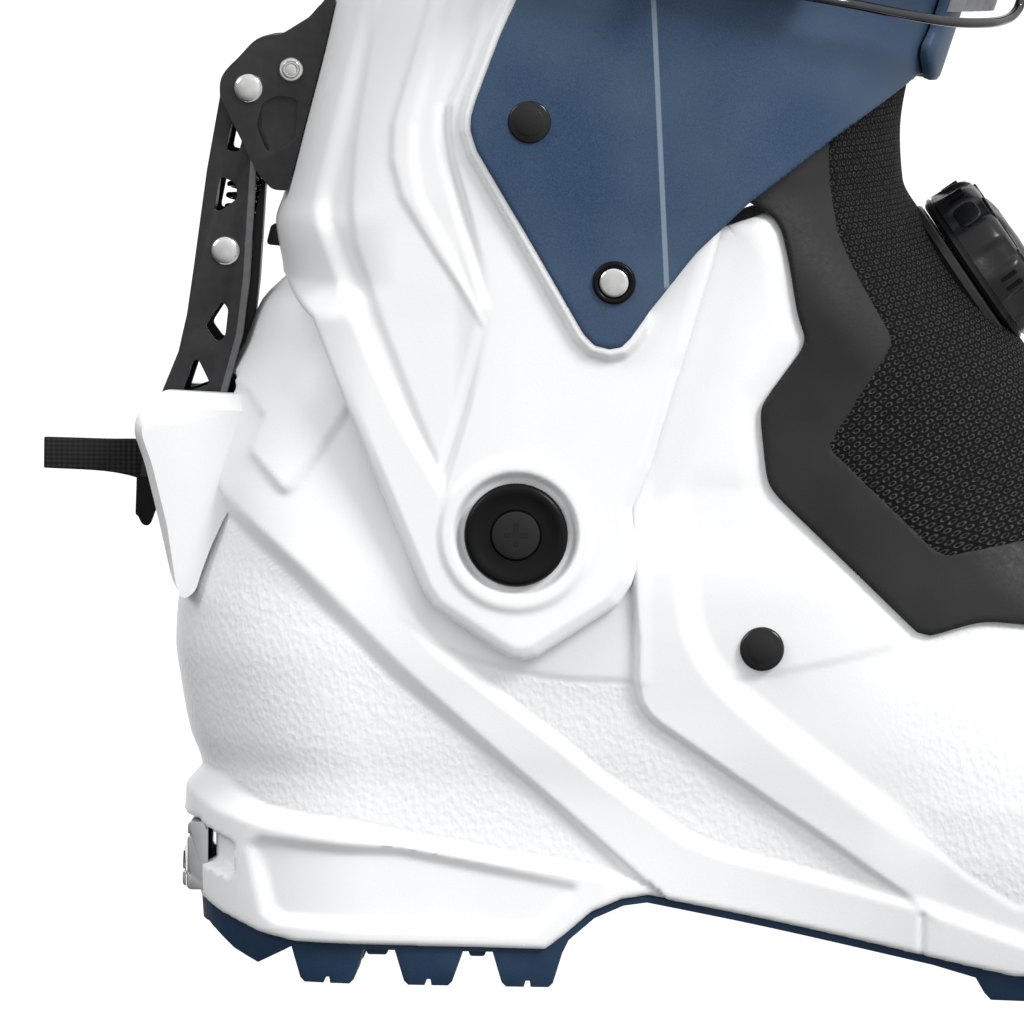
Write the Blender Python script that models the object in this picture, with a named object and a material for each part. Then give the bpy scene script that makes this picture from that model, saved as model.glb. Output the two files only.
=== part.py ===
"""Alpine touring ski boot, right foot, EU 38 shell.

Frame: +X to the toe, +Z up, -Y is the outer (lateral) side. The origin is the centre of the
bottom face of the heel's middle lug, on the ground. Sizes below are in millimetres and are
multiplied by MM where meshes are made.

The hollow parts are lofts of closed plan outlines, one for each height. An outline has a
rounded rear end, two flanks and a rounded front end. Side outlines in the XZ plane then trim
the lofts, so each part has the outline that it shows from the side.
"""
import math

import bmesh
import bpy
from mathutils import Matrix, Vector

MM = 0.001
GAP = 0.3                      # clearance between touching parts

# Ankle pivot
PIVOT_X, PIVOT_Z = 17.5, 94.5
WASHER_R = 10.5
RECESS_R = 12.5
BUSH_R = 7.7
TNUT_R = 4.2
SCREW_R = 2.4

# Wall thicknesses and layers, as offsets from the shell or cuff surface
SHELL_WALL = 3.5
CUFF_WALL = 3.6
GAITER_LAYER = (0.8, 1.9)
LINER_LAYER = (-9.6, -5.2)
WING_LAYER = (0.3, 2.8)
FLAP_LAYER = (3.5, 5.8)

# Heights of the inside of the sole
CAVITY_FLOOR = 24.0
BOARD_TOP = 26.8
FOOTBED = 33.0

# The liner is split on a cylinder about the pivot, so that the cuff can turn
SPLIT_R = 71.5
SPLIT_HALF = 1.5

# Walk lever
LEVER_PIVOT = (-40.3, 184.2)
LEVER_RIVET = (-44.9, 150.3)
LEVER_HALF = 12.3
SLOT_HALF = 13.0
SLOT_R = 65.8                  # wall of the heel slot, about the ankle pivot
SLOT_FLOOR = 83.5
BRACKET_HALF = 15.6

# Lace dial
DIAL_CENTRE = Vector((108.7, 0.0, 147.1))
DIAL_AXIS = Vector((0.82, 0.0, 0.573)).normalized()
DIAL_R = 17.15

# Buckle: the hinge axes run along the shaft, which leans forward
LEAN = math.radians(15.0)
SHAFT = Vector((math.sin(LEAN), 0.0, math.cos(LEAN)))
BACKWARD = Vector((-math.cos(LEAN), 0.0, math.sin(LEAN)))
OUTWARD = Vector((0.0, -1.0, 0.0))
BUCKLE_HINGE = Vector((76.5, -59.5, 212.0))
BAIL_THROW = 11.0
BAIL_R = 1.1

# Places along X where the half width of an outline is given
STATIONS = (-25.0, 18.0, 60.0, 140.0)

# z, rear x, front x, half widths at STATIONS, length of rear end, length of front end
LOWER_ROWS = (
    (-5.0, -50.0, 200.0, 33.0, 32.0, 31.0, 43.0, 36.0, 46.0),
    (8.0, -51.5, 208.0, 35.5, 34.5, 33.0, 47.5, 37.0, 48.0),
    (20.0, -52.5, 212.5, 37.0, 36.0, 34.5, 50.0, 38.0, 50.0),
    (31.0, -53.0, 213.0, 37.8, 36.5, 35.5, 51.5, 38.0, 52.0),
    (38.8, -53.0, 212.0, 38.0, 37.0, 36.0, 51.5, 38.0, 52.0),
    (42.0, -48.9, 211.0, 35.5, 36.5, 36.5, 51.0, 36.0, 52.0),
    (50.0, -51.9, 207.5, 37.0, 38.0, 37.5, 49.5, 37.0, 54.0),
    (60.0, -53.9, 199.0, 38.0, 39.5, 39.0, 46.5, 38.0, 55.0),
    (69.0, -55.1, 186.0, 38.3, 41.0, 40.5, 42.5, 38.0, 52.0),
    (76.0, -54.8, 170.0, 38.0, 41.8, 41.5, 39.5, 38.0, 48.0),
    (84.0, -53.0, 156.0, 37.5, 42.3, 42.3, 36.5, 37.0, 44.0),
    (92.0, -50.5, 147.5, 36.8, 42.5, 42.5, 34.0, 36.0, 42.0),
    (104.0, -47.5, 137.5, 36.3, 42.5, 42.5, 31.0, 35.0, 40.0),
    (118.0, -44.0, 128.5, 36.0, 42.5, 42.5, 29.0, 35.0, 38.0),
    (130.0, -38.8, 120.4, 36.0, 42.5, 42.5, 28.0, 35.0, 36.0),
    (138.0, -35.8, 114.3, 36.5, 42.5, 42.5, 28.0, 35.0, 36.0),
    (147.0, -28.4, 106.8, 37.0, 42.5, 42.5, 28.0, 34.0, 36.0),
    (157.0, -28.0, 98.6, 38.0, 42.5, 42.5, 28.0, 37.0, 36.0),
    (166.0, -27.0, 93.3, 39.0, 42.5, 42.5, 28.0, 38.0, 36.0),
    (176.0, -26.5, 92.6, 40.0, 42.5, 42.5, 30.0, 40.0, 40.0),
    (195.0, -22.0, 95.6, 40.0, 42.5, 42.5, 30.0, 40.0, 42.0),
)
CUFF_ROWS = (
    (55.0, -41.0, 74.0, 44.0, 48.2, 48.0, 40.0, 28.0, 34.0),
    (95.0, -41.0, 78.0, 44.0, 48.2, 48.0, 40.0, 28.0, 34.0),
    (137.0, -40.0, 84.0, 44.5, 48.6, 48.4, 40.0, 28.0, 34.0),
    (145.6, -33.4, 86.0, 45.0, 48.8, 48.6, 40.0, 26.0, 34.0),
    (156.6, -35.1, 88.5, 45.5, 49.0, 49.0, 40.0, 28.0, 34.0),
    (162.5, -33.4, 89.8, 46.0, 49.3, 49.4, 40.0, 29.0, 34.0),
    (176.0, -30.2, 92.8, 46.5, 50.0, 50.2, 42.0, 32.0, 36.0),
    (192.6, -26.3, 98.2, 47.0, 51.0, 51.2, 44.0, 36.0, 42.0),
    (203.0, -24.1, 101.5, 47.5, 51.5, 51.7, 45.0, 38.0, 46.0),
    (246.0, -14.1, 115.5, 49.0, 53.0, 53.3, 50.0, 44.0, 52.0),
    (285.0, -5.0, 128.0, 50.0, 54.0, 54.8, 53.0, 48.0, 54.0),
    (310.0, 0.8, 136.0, 50.5, 54.5, 55.5, 54.0, 50.0, 55.0),
)
SHAFT_LINER_ROWS = (
    (90.0, -25.0, 72.0, 34.0, 38.0, 38.0, 30.0, 36.0, 38.0),
    (150.0, -29.8, 84.0, 35.0, 38.0, 38.0, 32.0, 38.0, 38.0),
    (162.5, -29.2, 86.0, 35.0, 38.0, 38.0, 32.0, 38.0, 38.0),
    (186.0, -22.8, 94.0, 36.0, 38.2, 38.2, 34.0, 36.0, 40.0),
    (203.0, -18.9, 99.5, 41.0, 45.3, 45.5, 39.0, 40.0, 44.0),
    (246.0, -8.9, 113.5, 43.0, 46.8, 47.3, 44.0, 44.0, 48.0),
    (285.0, 0.2, 125.5, 44.5, 48.3, 48.8, 47.0, 46.0, 50.0),
    (305.0, 4.8, 132.0, 45.0, 48.8, 49.3, 48.0, 46.0, 51.0),
)

# Line between the white shell and the rubber sole, from heel to toe
SOLE_LINE = (
    (-46.7, 16.9), (-42.0, 13.7), (-33.9, 10.2), (-26.9, 8.8), (24.1, 8.2), (28.0, 11.2),
    (33.5, 16.1), (39.8, 18.8), (45.3, 19.6), (121.0, 5.9), (142.0, 6.4), (166.0, 9.2),
    (186.0, 13.6), (200.0, 18.6), (214.0, 25.5),
)
# Lugs: first and last x of the bottom face, its height at the front of the sole
HEEL_LUGS = ((-26.3, -15.7), (-4.7, 4.7), (15.5, 25.5))
FORE_LUGS = ((115.0, 124.0), (130.5, 139.5), (146.0, 154.5), (161.0, 169.0), (175.5, 183.0))
LUG_DRAFT = 2.2
HEEL_BASE = 7.3
TOE_BAR_X, TOE_BAR_Z = 192.0, 19.6

# Upper edge of the lower shell: throat, shoulders and collar
SHELL_TOP = (
    (240.0, 60.0), (156.0, 93.0), (122.0, 91.5), (104.0, 91.0), (82.0, 113.0), (86.0, 124.0),
    (76.0, 137.0), (70.0, 150.0), (67.0, 163.0), (54.0, 156.0), (36.0, 149.0), (12.0, 146.0),
    (-80.0, 146.0),
)
CRADLE = (
    (-57.4, 121.4), (-60.1, 118.7), (-62.6, 116.6), (-63.2, 113.0), (-60.9, 106.4),
    (-57.8, 94.4), (-54.6, 80.0), (-44.0, 72.0), (-36.0, 90.0), (-36.0, 108.0),
    (-33.9, 116.0), (-37.3, 120.6),
)
CRADLE_HALF = 21.5
GAITER_EDGE = (
    (62.0, 164.0), (68.2, 160.7), (70.7, 157.8), (72.4, 150.5), (74.3, 139.6), (76.3, 134.5),
    (67.4, 122.0), (66.9, 119.2), (68.5, 106.0), (70.3, 103.1), (99.5, 75.4), (101.6, 74.3),
    (109.7, 76.9), (114.1, 77.8), (121.0, 77.2), (146.0, 76.0), (166.0, 79.0), (200.0, 84.0),
    (200.0, 190.5), (90.0, 190.5), (76.0, 181.0), (60.0, 168.0),
)
CUFF_EDGE = (
    (-80.0, 145.2), (-33.0, 145.2), (-25.5, 137.6), (-18.3, 120.0), (-11.0, 103.3),
    (-1.9, 82.4), (0.7, 78.8), (13.5, 70.7), (16.7, 69.0), (19.1, 68.7), (22.0, 69.4),
    (38.6, 80.3), (41.2, 84.6), (42.0, 87.2), (42.0, 91.5), (41.0, 100.0), (44.5, 108.0),
    (51.0, 130.0), (57.0, 150.0), (68.0, 200.0), (78.0, 236.0), (74.0, 250.0), (52.0, 264.0),
    (20.0, 277.0), (-8.0, 282.0), (-80.0, 282.0),
)
WING_EDGE = (
    (16.3, 203.7), (13.3, 196.7), (8.4, 183.0), (7.7, 179.0), (8.8, 173.1), (30.8, 135.9),
    (33.0, 133.7), (36.1, 132.9), (38.6, 133.4), (41.8, 137.6), (53.4, 152.7), (63.1, 163.1),
    (79.0, 176.3), (89.6, 184.5), (96.0, 189.5), (160.0, 190.3), (160.0, 244.0), (100.0, 247.0),
    (60.0, 250.0), (36.0, 250.0), (29.0, 245.0), (22.0, 223.0),
)
LEVER_EDGE = (
    (-46.3, 184.2), (-46.5, 182.0), (-49.0, 167.0), (-51.5, 146.9), (-52.8, 137.1),
    (-54.5, 129.2), (-58.5, 119.1), (-61.2, 110.0), (-62.2, 103.0), (-50.0, 103.0),
    (-48.9, 105.0), (-47.6, 111.0), (-45.1, 118.4), (-41.3, 133.1), (-40.1, 144.0),
    (-39.2, 161.2), (-38.6, 172.0), (-34.6, 181.0), (-34.4, 186.0), (-36.6, 189.0),
    (-40.3, 190.2), (-44.2, 188.8),
)
LEVER_WINDOWS = (
    ((-45.1, 171.2), (-42.4, 170.8), (-41.7, 173.5), (-42.2, 176.9), (-44.0, 177.0)),
    ((-47.5, 158.9), (-46.3, 158.4), (-42.6, 161.2), (-42.9, 164.4), (-46.2, 165.8)),
    ((-49.0, 134.5), (-46.5, 131.2), (-44.8, 132.4), (-44.2, 138.4), (-45.6, 139.8)),
    ((-53.6, 120.4), (-47.8, 122.6), (-50.3, 127.6), (-51.4, 127.4)),
)
BRACKET_EDGE = (
    (-46.3, 185.9), (-44.9, 188.2), (-42.1, 190.9), (-39.8, 193.2), (-37.3, 194.1),
    (-35.0, 194.4), (-28.3, 198.6), (-24.9, 202.6), (-12.0, 202.6), (-12.0, 163.1),
    (-35.0, 163.1), (-36.5, 164.6), (-38.5, 167.0), (-40.1, 170.2), (-45.3, 180.6),
    (-46.3, 182.2),
)

for old in list(bpy.data.objects):
    bpy.data.objects.remove(old, do_unlink=True)

parts = bpy.data.collections.new("touring_boot")
bpy.context.scene.collection.children.link(parts)


# ---------------------------------------------------------------- materials

def material(name, colour, roughness, metallic=0.0):
    mat = bpy.data.materials.new(name)
    mat.use_nodes = True
    shader = mat.node_tree.nodes["Principled BSDF"]
    shader.inputs["Base Color"].default_value = (*colour, 1.0)
    shader.inputs["Roughness"].default_value = roughness
    shader.inputs["Metallic"].default_value = metallic
    mat.diffuse_color = (*colour, 1.0)
    return mat


WHITE = material("white_shell", (0.82, 0.83, 0.85), 0.4)
BLUE = material("blue_wing", (0.02, 0.06, 0.14), 0.45)
NAVY = material("navy_rubber", (0.006, 0.02, 0.055), 0.7)
KNIT = material("black_knit", (0.02, 0.02, 0.02), 0.9)
FOAM = material("liner_foam", (0.05, 0.05, 0.055), 0.9)
BOARD = material("board_plastic", (0.1, 0.1, 0.1), 0.6)
BLACK = material("black_plastic", (0.015, 0.015, 0.016), 0.4)
ANODISED = material("black_anodised", (0.03, 0.03, 0.032), 0.35, 0.8)
STEEL = material("steel", (0.6, 0.6, 0.6), 0.25, 1.0)
CHROME = material("chrome", (0.75, 0.75, 0.75), 0.1, 1.0)
WEBBING = material("webbing", (0.02, 0.02, 0.02), 0.85)


# ---------------------------------------------------------------- mesh helpers

def new_object(name, mesh, mat):
    obj = bpy.data.objects.new(name, mesh)
    parts.objects.link(obj)
    if mat is not None:
        mesh.materials.clear()
        mesh.materials.append(mat)
    return obj


def finish(obj, angle=35.0):
    obj.data.shade_smooth()
    obj.data.set_sharp_from_angle(angle=math.radians(angle))
    return obj


def mesh_from(bm):
    bmesh.ops.recalc_face_normals(bm, faces=bm.faces)
    mesh = bpy.data.meshes.new("mesh")
    bm.to_mesh(mesh)
    bm.free()
    return mesh


def loft(name, rings, mat=None):
    """Closed body through rings of points in millimetres, with a cap on each end."""
    bm = bmesh.new()
    rows = [[bm.verts.new(Vector(p) * MM) for p in ring] for ring in rings]
    count = len(rows[0])
    for low, high in zip(rows, rows[1:]):
        for i in range(count):
            j = (i + 1) % count
            bm.faces.new((low[i], low[j], high[j], high[i]))
    bm.faces.new(list(reversed(rows[0])))
    bm.faces.new(rows[-1])
    return new_object(name, mesh_from(bm), mat)


def prism(name, outline, low, high, mat=None):
    """Side outline (x, z) extruded along Y from low to high."""
    rings = [[(x, y, z) for x, z in outline] for y in (low, high)]
    return loft(name, rings, mat)


def block(name, low, high, mat=None):
    size = [b - a for a, b in zip(low, high)]
    centre = [(a + b) / 2 for a, b in zip(low, high)]
    bm = bmesh.new()
    bmesh.ops.create_cube(bm, size=1.0)
    bmesh.ops.scale(bm, vec=Vector(size) * MM, verts=bm.verts)
    bmesh.ops.translate(bm, vec=Vector(centre) * MM, verts=bm.verts)
    return new_object(name, mesh_from(bm), mat)


def rod(name, start, end, radius, mat=None, sides=16, end_radius=None):
    """Cylinder or cone between two points."""
    start, end = Vector(start), Vector(end)
    axis = end - start
    bm = bmesh.new()
    bmesh.ops.create_cone(bm, cap_ends=True, segments=sides, radius1=radius * MM,
                          radius2=(radius if end_radius is None else end_radius) * MM,
                          depth=axis.length * MM)
    turn = axis.to_track_quat("Z", "Y").to_matrix().to_4x4()
    bmesh.ops.transform(bm, matrix=Matrix.Translation((start + end) / 2 * MM) @ turn,
                        verts=bm.verts)
    return new_object(name, mesh_from(bm), mat)


def turned(name, profile, origin, axis, mat=None, sides=24):
    """Turned body: profile of (distance along axis, radius) from one end to the other."""
    axis = Vector(axis).normalized()
    side = axis.orthogonal().normalized()
    other = axis.cross(side)
    rings = []
    for along, radius in profile:
        ring = []
        for i in range(sides):
            a = 2 * math.pi * i / sides
            ring.append(Vector(origin) + axis * along
                        + (side * math.cos(a) + other * math.sin(a)) * radius)
        rings.append(ring)
    return loft(name, rings, mat)


def wire(name, points, radius, mat, resolution=2):
    """Round bar along a smooth open route, with filled ends."""
    curve = bpy.data.curves.new(name, "CURVE")
    curve.dimensions = "3D"
    curve.bevel_depth = radius * MM
    curve.bevel_resolution = resolution
    curve.use_fill_caps = True
    spline = curve.splines.new("POLY")
    spline.points.add(len(points) - 1)
    for slot, p in zip(spline.points, points):
        slot.co = (*(Vector(p) * MM), 1.0)
    curve.materials.append(mat)
    obj = bpy.data.objects.new(name, curve)
    parts.objects.link(obj)
    return obj


def smooth_route(points, steps=3):
    """Points on a Catmull-Rom curve through a route."""
    pts = [Vector(p) for p in points]
    pts = [2 * pts[0] - pts[1]] + pts + [2 * pts[-1] - pts[-2]]
    out = []
    for a, b, c, d in zip(pts, pts[1:], pts[2:], pts[3:]):
        for k in range(steps):
            t = k / steps
            out.append(0.5 * (2 * b + (c - a) * t + (2 * a - 5 * b + 4 * c - d) * t ** 2
                              + (3 * b - a - 3 * c + d) * t ** 3))
    out.append(pts[-2])
    return out


def combine(target, other, operation="DIFFERENCE", keep=False):
    """Boolean of target with other; other is removed unless it is kept."""
    step = target.modifiers.new("step", "BOOLEAN")
    step.operation = operation
    step.object = other
    step.solver = "EXACT"
    graph = bpy.context.evaluated_depsgraph_get()
    mesh = bpy.data.meshes.new_from_object(target.evaluated_get(graph))
    target.modifiers.clear()
    mats = list(target.data.materials)
    target.data = mesh
    mesh.materials.clear()
    for mat in mats:
        mesh.materials.append(mat)
    if not keep:
        bpy.data.objects.remove(other, do_unlink=True)
    return target


def cut(target, *tools):
    for tool in tools:
        combine(target, tool, "DIFFERENCE")
    return target


def keep_inside(target, tool):
    return combine(target, tool, "INTERSECT")


def join(target, *others):
    for other in others:
        combine(target, other, "UNION")
    return target


def tidy(obj):
    """Weld doubled points left by the cuts and shade smooth."""
    bm = bmesh.new()
    bm.from_mesh(obj.data)
    bmesh.ops.remove_doubles(bm, verts=bm.verts, dist=0.000005)
    bm.to_mesh(obj.data)
    bm.free()
    return finish(obj)


# ---------------------------------------------------------------- body surfaces

def ramp(value):
    value = min(max(value, 0.0), 1.0)
    return value * value * (3 - 2 * value)


def row_at(rows, z):
    """Row of a table at height z, in straight lines between the rows given."""
    if z <= rows[0][0]:
        return rows[0]
    for low, high in zip(rows, rows[1:]):
        if z <= high[0]:
            t = (z - low[0]) / (high[0] - low[0])
            return tuple(a + (b - a) * t for a, b in zip(low, high))
    return rows[-1]


def half_width(row, x):
    widths = row[3:7]
    if x <= STATIONS[0]:
        return widths[0]
    for i in range(len(STATIONS) - 1):
        if x <= STATIONS[i + 1]:
            t = ramp((x - STATIONS[i]) / (STATIONS[i + 1] - STATIONS[i]))
            return widths[i] + (widths[i + 1] - widths[i]) * t
    return widths[-1]


def toe_shift(x, z):
    """The toes bend to the inner side, which is +Y."""
    return 6.0 * ramp((x - 120.0) / 90.0) * (1 - ramp((z - 60.0) / 40.0))


def heel_pad(offset, z):
    """Extra thickness inside the heel, at the lever slot above and the binding insert below."""
    if offset >= 0:
        return 0.0
    return 2.8 * math.exp(-((z - 98.0) / 17.0) ** 2) + 4.2 * (1 - ramp((z - 33.0) / 8.0))


def section_ends(rows, z, offset):
    """Row, rear x and front x of a surface; sloping fronts move up or down too."""
    row = row_at(rows, z - offset * ramp((z - 35.0) / 25.0))
    pad = heel_pad(offset, z) if rows is LOWER_ROWS else 0.0
    return row, row_at(rows, z)[1] - offset + pad, row[2] + offset


def outline(rows, z, offset=0.0, end_points=5, flank_points=4):
    """Closed plan outline at height z; offset is a number or a function of x."""
    moved = offset if callable(offset) else (lambda x: offset)
    row, rear, front = section_ends(rows, z, 0.0 if callable(offset) else offset)
    rear_len, front_len = row[7], row[8]
    side = []
    for i in range(end_points + 1):
        a = math.pi / 2 * i / end_points
        side.append((rear + rear_len * (1 - math.cos(a)), math.sin(a)))
    first, last = rear + rear_len, front - front_len
    for i in range(1, flank_points):
        side.append((first + (last - first) * i / flank_points, 1.0))
    for i in range(end_points, -1, -1):
        a = math.pi / 2 * i / end_points
        side.append((front - front_len * (1 - math.cos(a)), math.sin(a)))

    def place(x, share, sign):
        extra = moved(x)
        y = sign * share * (half_width(row, x) + extra) + toe_shift(x, z)
        if callable(offset):
            x += extra * (1.0 if x > (rear + front) / 2 else -1.0) * math.sqrt(1 - share ** 2)
        return (x, y, z)

    points = [place(x, share, -1.0) for x, share in side]
    points += [place(x, share, 1.0) for x, share in reversed(side[1:-1])]
    return points


def tube(name, rows, levels, offset=0.0, mat=None, **counts):
    return loft(name, [outline(rows, z, offset, **counts) for z in levels], mat)


def layer(name, rows, levels, bounds, mat, **counts):
    """Hollow band between two offsets of one surface."""
    body = tube(name, rows, levels, bounds[1], mat, **counts)
    reach = [levels[0] - 5.0] + list(levels[1:-1]) + [levels[-1] + 5.0]
    return cut(body, tube("inside", rows, reach, bounds[0], **counts))


def side_y(rows, x, z, offset=0.0):
    """Y of the lateral surface at (x, z)."""
    row, rear, front = section_ends(rows, z, offset)
    share = 1.0
    if x < rear + row[7]:
        share = math.sqrt(max(0.0, 1 - ((rear + row[7] - x) / row[7]) ** 2))
    if x > front - row[8]:
        share = math.sqrt(max(0.0, 1 - ((x - front + row[8]) / row[8]) ** 2))
    return -share * (half_width(row, x) + offset) + toe_shift(x, z)


def front_x(rows, y, z, offset=0.0):
    """X of the front surface at (y, z)."""
    row, _, front = section_ends(rows, z, offset)
    share = min(1.0, abs(y) / (half_width(row, front) + offset))
    return front - row[8] * (1 - math.sqrt(1 - share ** 2))


# ---------------------------------------------------------------- lower part

def lower_shell():
    levels = (2, 8, 20, 31, 38.8, 42, 50, 60, 69, 76, 84, 92, 104, 118, 130, 138, 147, 157, 170)
    shell = tube("lower_shell", LOWER_ROWS, levels, 0.0, WHITE)
    edge = list(SOLE_LINE) + [(240.0, 30.0)] + list(SHELL_TOP) + [(-80.0, 17.2)]
    keep_inside(shell, prism("trim", edge, -90, 90))
    join(shell, prism("cradle", CRADLE, -CRADLE_HALF, CRADLE_HALF))
    cavity = (CAVITY_FLOOR, 33, 42, 50, 60, 69, 76, 84, 92, 104, 118, 130, 138, 147, 175)
    cut(shell, tube("cavity", LOWER_ROWS, cavity, -SHELL_WALL))

    arc = []
    start = math.degrees(math.asin((SLOT_FLOOR - PIVOT_Z) / SLOT_R))
    for i in range(7):
        a = math.radians(start + (26.0 - start) * i / 6)
        arc.append((PIVOT_X - SLOT_R * math.cos(a), PIVOT_Z + SLOT_R * math.sin(a)))
    slot = [(-80.0, SLOT_FLOOR)] + arc + [(-80.0, arc[-1][1])]
    cut(shell, prism("slot", slot, -SLOT_HALF, SLOT_HALF))
    cut(shell, block("insert_seat", (-60, -18.4, 17.0), (-48.7, 18.4, 32.0)))
    cut(shell, rod("toe_bore", (TOE_BAR_X, -60, TOE_BAR_Z), (TOE_BAR_X, 60, TOE_BAR_Z), 3.8, sides=16))
    for side in (-1, 1):
        bore = rod("bore", (PIVOT_X, side * 30, PIVOT_Z), (PIVOT_X, side * 50, PIVOT_Z), 4.6)
        seat = rod("seat", (PIVOT_X, side * 30, PIVOT_Z), (PIVOT_X, side * 40.7, PIVOT_Z), 9.4)
        pin = rod("pin", (68, side * 38.2, 71.5), (68, side * 50, 71.5), 2.2, sides=10)
        cut(shell, bore, seat, pin)
    return tidy(shell)


def sole_edge():
    """Outline of the rubber: along the sole line, then back over the lugs."""
    top = [(x, z - GAP) for x, z in SOLE_LINE]
    top[0] = (-47.2, 16.6)
    edge = [(-60.0, 16.6)] + top + [(230.0, 31.0), (230.0, 22.0)]
    bottom = [(200.0, 13.4), (191.0, 9.6)]
    for first, last in reversed(FORE_LUGS):
        rise = max(0.0, (first - 140.0) / 45.0) ** 2 * 6.0
        base = 4.6 + max(0.0, (first - 130.0) / 55.0) ** 2 * 5.5
        bottom += [(last + LUG_DRAFT, base + 0.6), (last, rise + 0.5 * (last > 170)),
                   (first, rise), (first - LUG_DRAFT, base)]
    bottom += [(104.0, 6.9), (45.0, 18.0), (40.2, 17.3), (34.2, 14.6), (29.0, 10.0)]
    for first, last in reversed(HEEL_LUGS):
        bottom += [(last + LUG_DRAFT, HEEL_BASE), (last, 0.0), (first, 0.0),
                   (first - LUG_DRAFT, HEEL_BASE)]
    bottom += [(-35.7, 3.3), (-41.0, 5.7), (-46.9, 10.2), (-60.0, 11.5)]
    return edge + bottom


def outsole():
    sole = tube("outsole", LOWER_ROWS, (-3, 8, 20, 31), 0.0, NAVY)
    keep_inside(sole, prism("trim", sole_edge(), -80, 80))
    cut(sole, block("heel_channel", (-60, -7, -5), (-9.6, 7, 6.6)))
    cut(sole, block("heel_channel", (9.6, -7, -5), (27, 7, 6.6)))
    cut(sole, block("fore_channel", (108, -9, -5), (189, 9, 4.0)))
    return tidy(sole)


def binding_inserts():
    plate = block("heel_tech_insert", (-53.2, -18, 17.4), (-49.1, 18, 31.6), CHROME)
    for y in (-13.5, 13.5):
        cut(plate, block("groove", (-60, y - 2.2, 10), (-50.6, y + 2.2, 27.5)))
        cut(plate, rod("socket", (-60, y, 25.5), (-50.0, y, 25.5), 3.0, sides=12))
    cut(plate, rod("screw_hole", (-60, 0, 24.5), (-51.4, 0, 24.5), 4.2, sides=16))
    tidy(plate)
    width = side_y(LOWER_ROWS, TOE_BAR_X, TOE_BAR_Z)
    far = 2 * toe_shift(TOE_BAR_X, TOE_BAR_Z) - width
    ends = [(TOE_BAR_X, y, TOE_BAR_Z) for y in (width + 0.6, far - 0.6)]
    bar = rod("toe_tech_insert", ends[0], ends[1], 3.4, STEEL)
    for end, inward in zip(ends, (1.0, -1.0)):
        cup = turned("cup", [(-2.0, 2.7), (0.0, 2.7), (3.0, 0.8)], end, (0, inward, 0), sides=12)
        cut(bar, cup)
    tidy(bar)


def boot_board():
    board = tube("boot_board", LOWER_ROWS, (CAVITY_FLOOR + GAP, BOARD_TOP), -4.4, BOARD)
    return tidy(board)


def polar(radius, degrees):
    a = math.radians(degrees)
    return (PIVOT_X + radius * math.cos(a), PIVOT_Z + radius * math.sin(a))


def liner_lower():
    outer, inner = LINER_LAYER[1], LINER_LAYER[0]
    top = (42, 50, 60, 69, 76, 84, 92, 104, 118, 130, 138, 147)
    counts = {"end_points": 4}
    liner = tube("liner_lower", LOWER_ROWS, (BOARD_TOP + GAP,) + top + (170,), outer, FOAM,
                 **counts)
    cut(liner, tube("foot", LOWER_ROWS, (FOOTBED,) + top + (175,), inner, **counts))
    radius = SPLIT_R - SPLIT_HALF
    over = [polar(130, 33)] + [polar(radius, 33 + 60 * i / 5) for i in range(6)]
    over += [polar(radius - 3.8, 95 + 80 * i / 7) for i in range(8)]
    over += [(-90.0, 101.0), (-90.0, 240.0), (200.0, 240.0), (200.0, 165.3)]
    cut(liner, prism("over", over, -80, 80))
    return tidy(liner)


def gaiter():
    levels = (66, 71, 76, 82, 88, 95, 104, 114, 124, 134, 146, 157, 166, 176, 196)
    cover = layer("gaiter", LOWER_ROWS, levels, GAITER_LAYER, KNIT, end_points=6)
    keep_inside(cover, prism("trim", GAITER_EDGE, -80, 80))
    return tidy(cover)


def rivet(name, x, z, y, depth, mat, side=-1, head=4.4, height=1.5, shank=1.9):
    """Domed rivet along Y: its head stands on y, its shank goes depth inward."""
    profile = [(-height, head * 0.62), (-height * 0.6, head * 0.95), (0.0, head),
               (0.0, shank), (depth, shank)]
    body = turned(name, profile, (x, y, z), (0, -side, 0), mat, sides=12)
    return tidy(body)


def shell_rivets():
    y = side_y(LOWER_ROWS, 68, 71.5) - 0.9
    rivet("shell_rivet_lateral", 68, 71.5, y, 2.8, BLACK, head=4.55)
    rivet("shell_rivet_medial", 68, 71.5, -y, 2.8, BLACK, side=1, head=4.55)


def lace_dial():
    base = turned("dial_base", [(-4.0, 15.5), (0.8, 17.6), (2.6, 17.6), (3.0, 16.8),
                                (3.0, 4.0), (9.0, 4.0)], DIAL_CENTRE, DIAL_AXIS, BLACK, 32)
    skin = (120, 128, 136, 146, 157, 166, 176)
    cut(base, tube("skin", LOWER_ROWS, skin, GAITER_LAYER[1] + GAP, end_points=6))
    tidy(base)

    knob = turned("dial_knob", [(3.3, DIAL_R - 0.8), (4.1, DIAL_R), (10.6, DIAL_R),
                                (12.0, DIAL_R - 1.6), (12.0, 11.6), (11.0, 11.6)],
                  DIAL_CENTRE, DIAL_AXIS, BLACK, 36)
    cut(knob, rod("bore", DIAL_CENTRE + DIAL_AXIS, DIAL_CENTRE + DIAL_AXIS * 9.6, 4.4))
    across = Vector((0, 1, 0))
    up = DIAL_AXIS.cross(across)
    for i in range(9):
        a = 2 * math.pi * i / 9
        ray = across * math.cos(a) + up * math.sin(a)
        foot = DIAL_CENTRE + ray * (DIAL_R + 4.0)
        cut(knob, rod("scallop", foot + DIAL_AXIS * 4.6, foot + DIAL_AXIS * 14, 5.4, sides=12))
    tidy(knob)
    cap = turned("dial_cap", [(11.3, 11.2), (12.4, 11.2), (13.3, 9.0), (13.7, 4.0)],
                 DIAL_CENTRE, DIAL_AXIS, BLACK, 28)
    tidy(cap)


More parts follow.
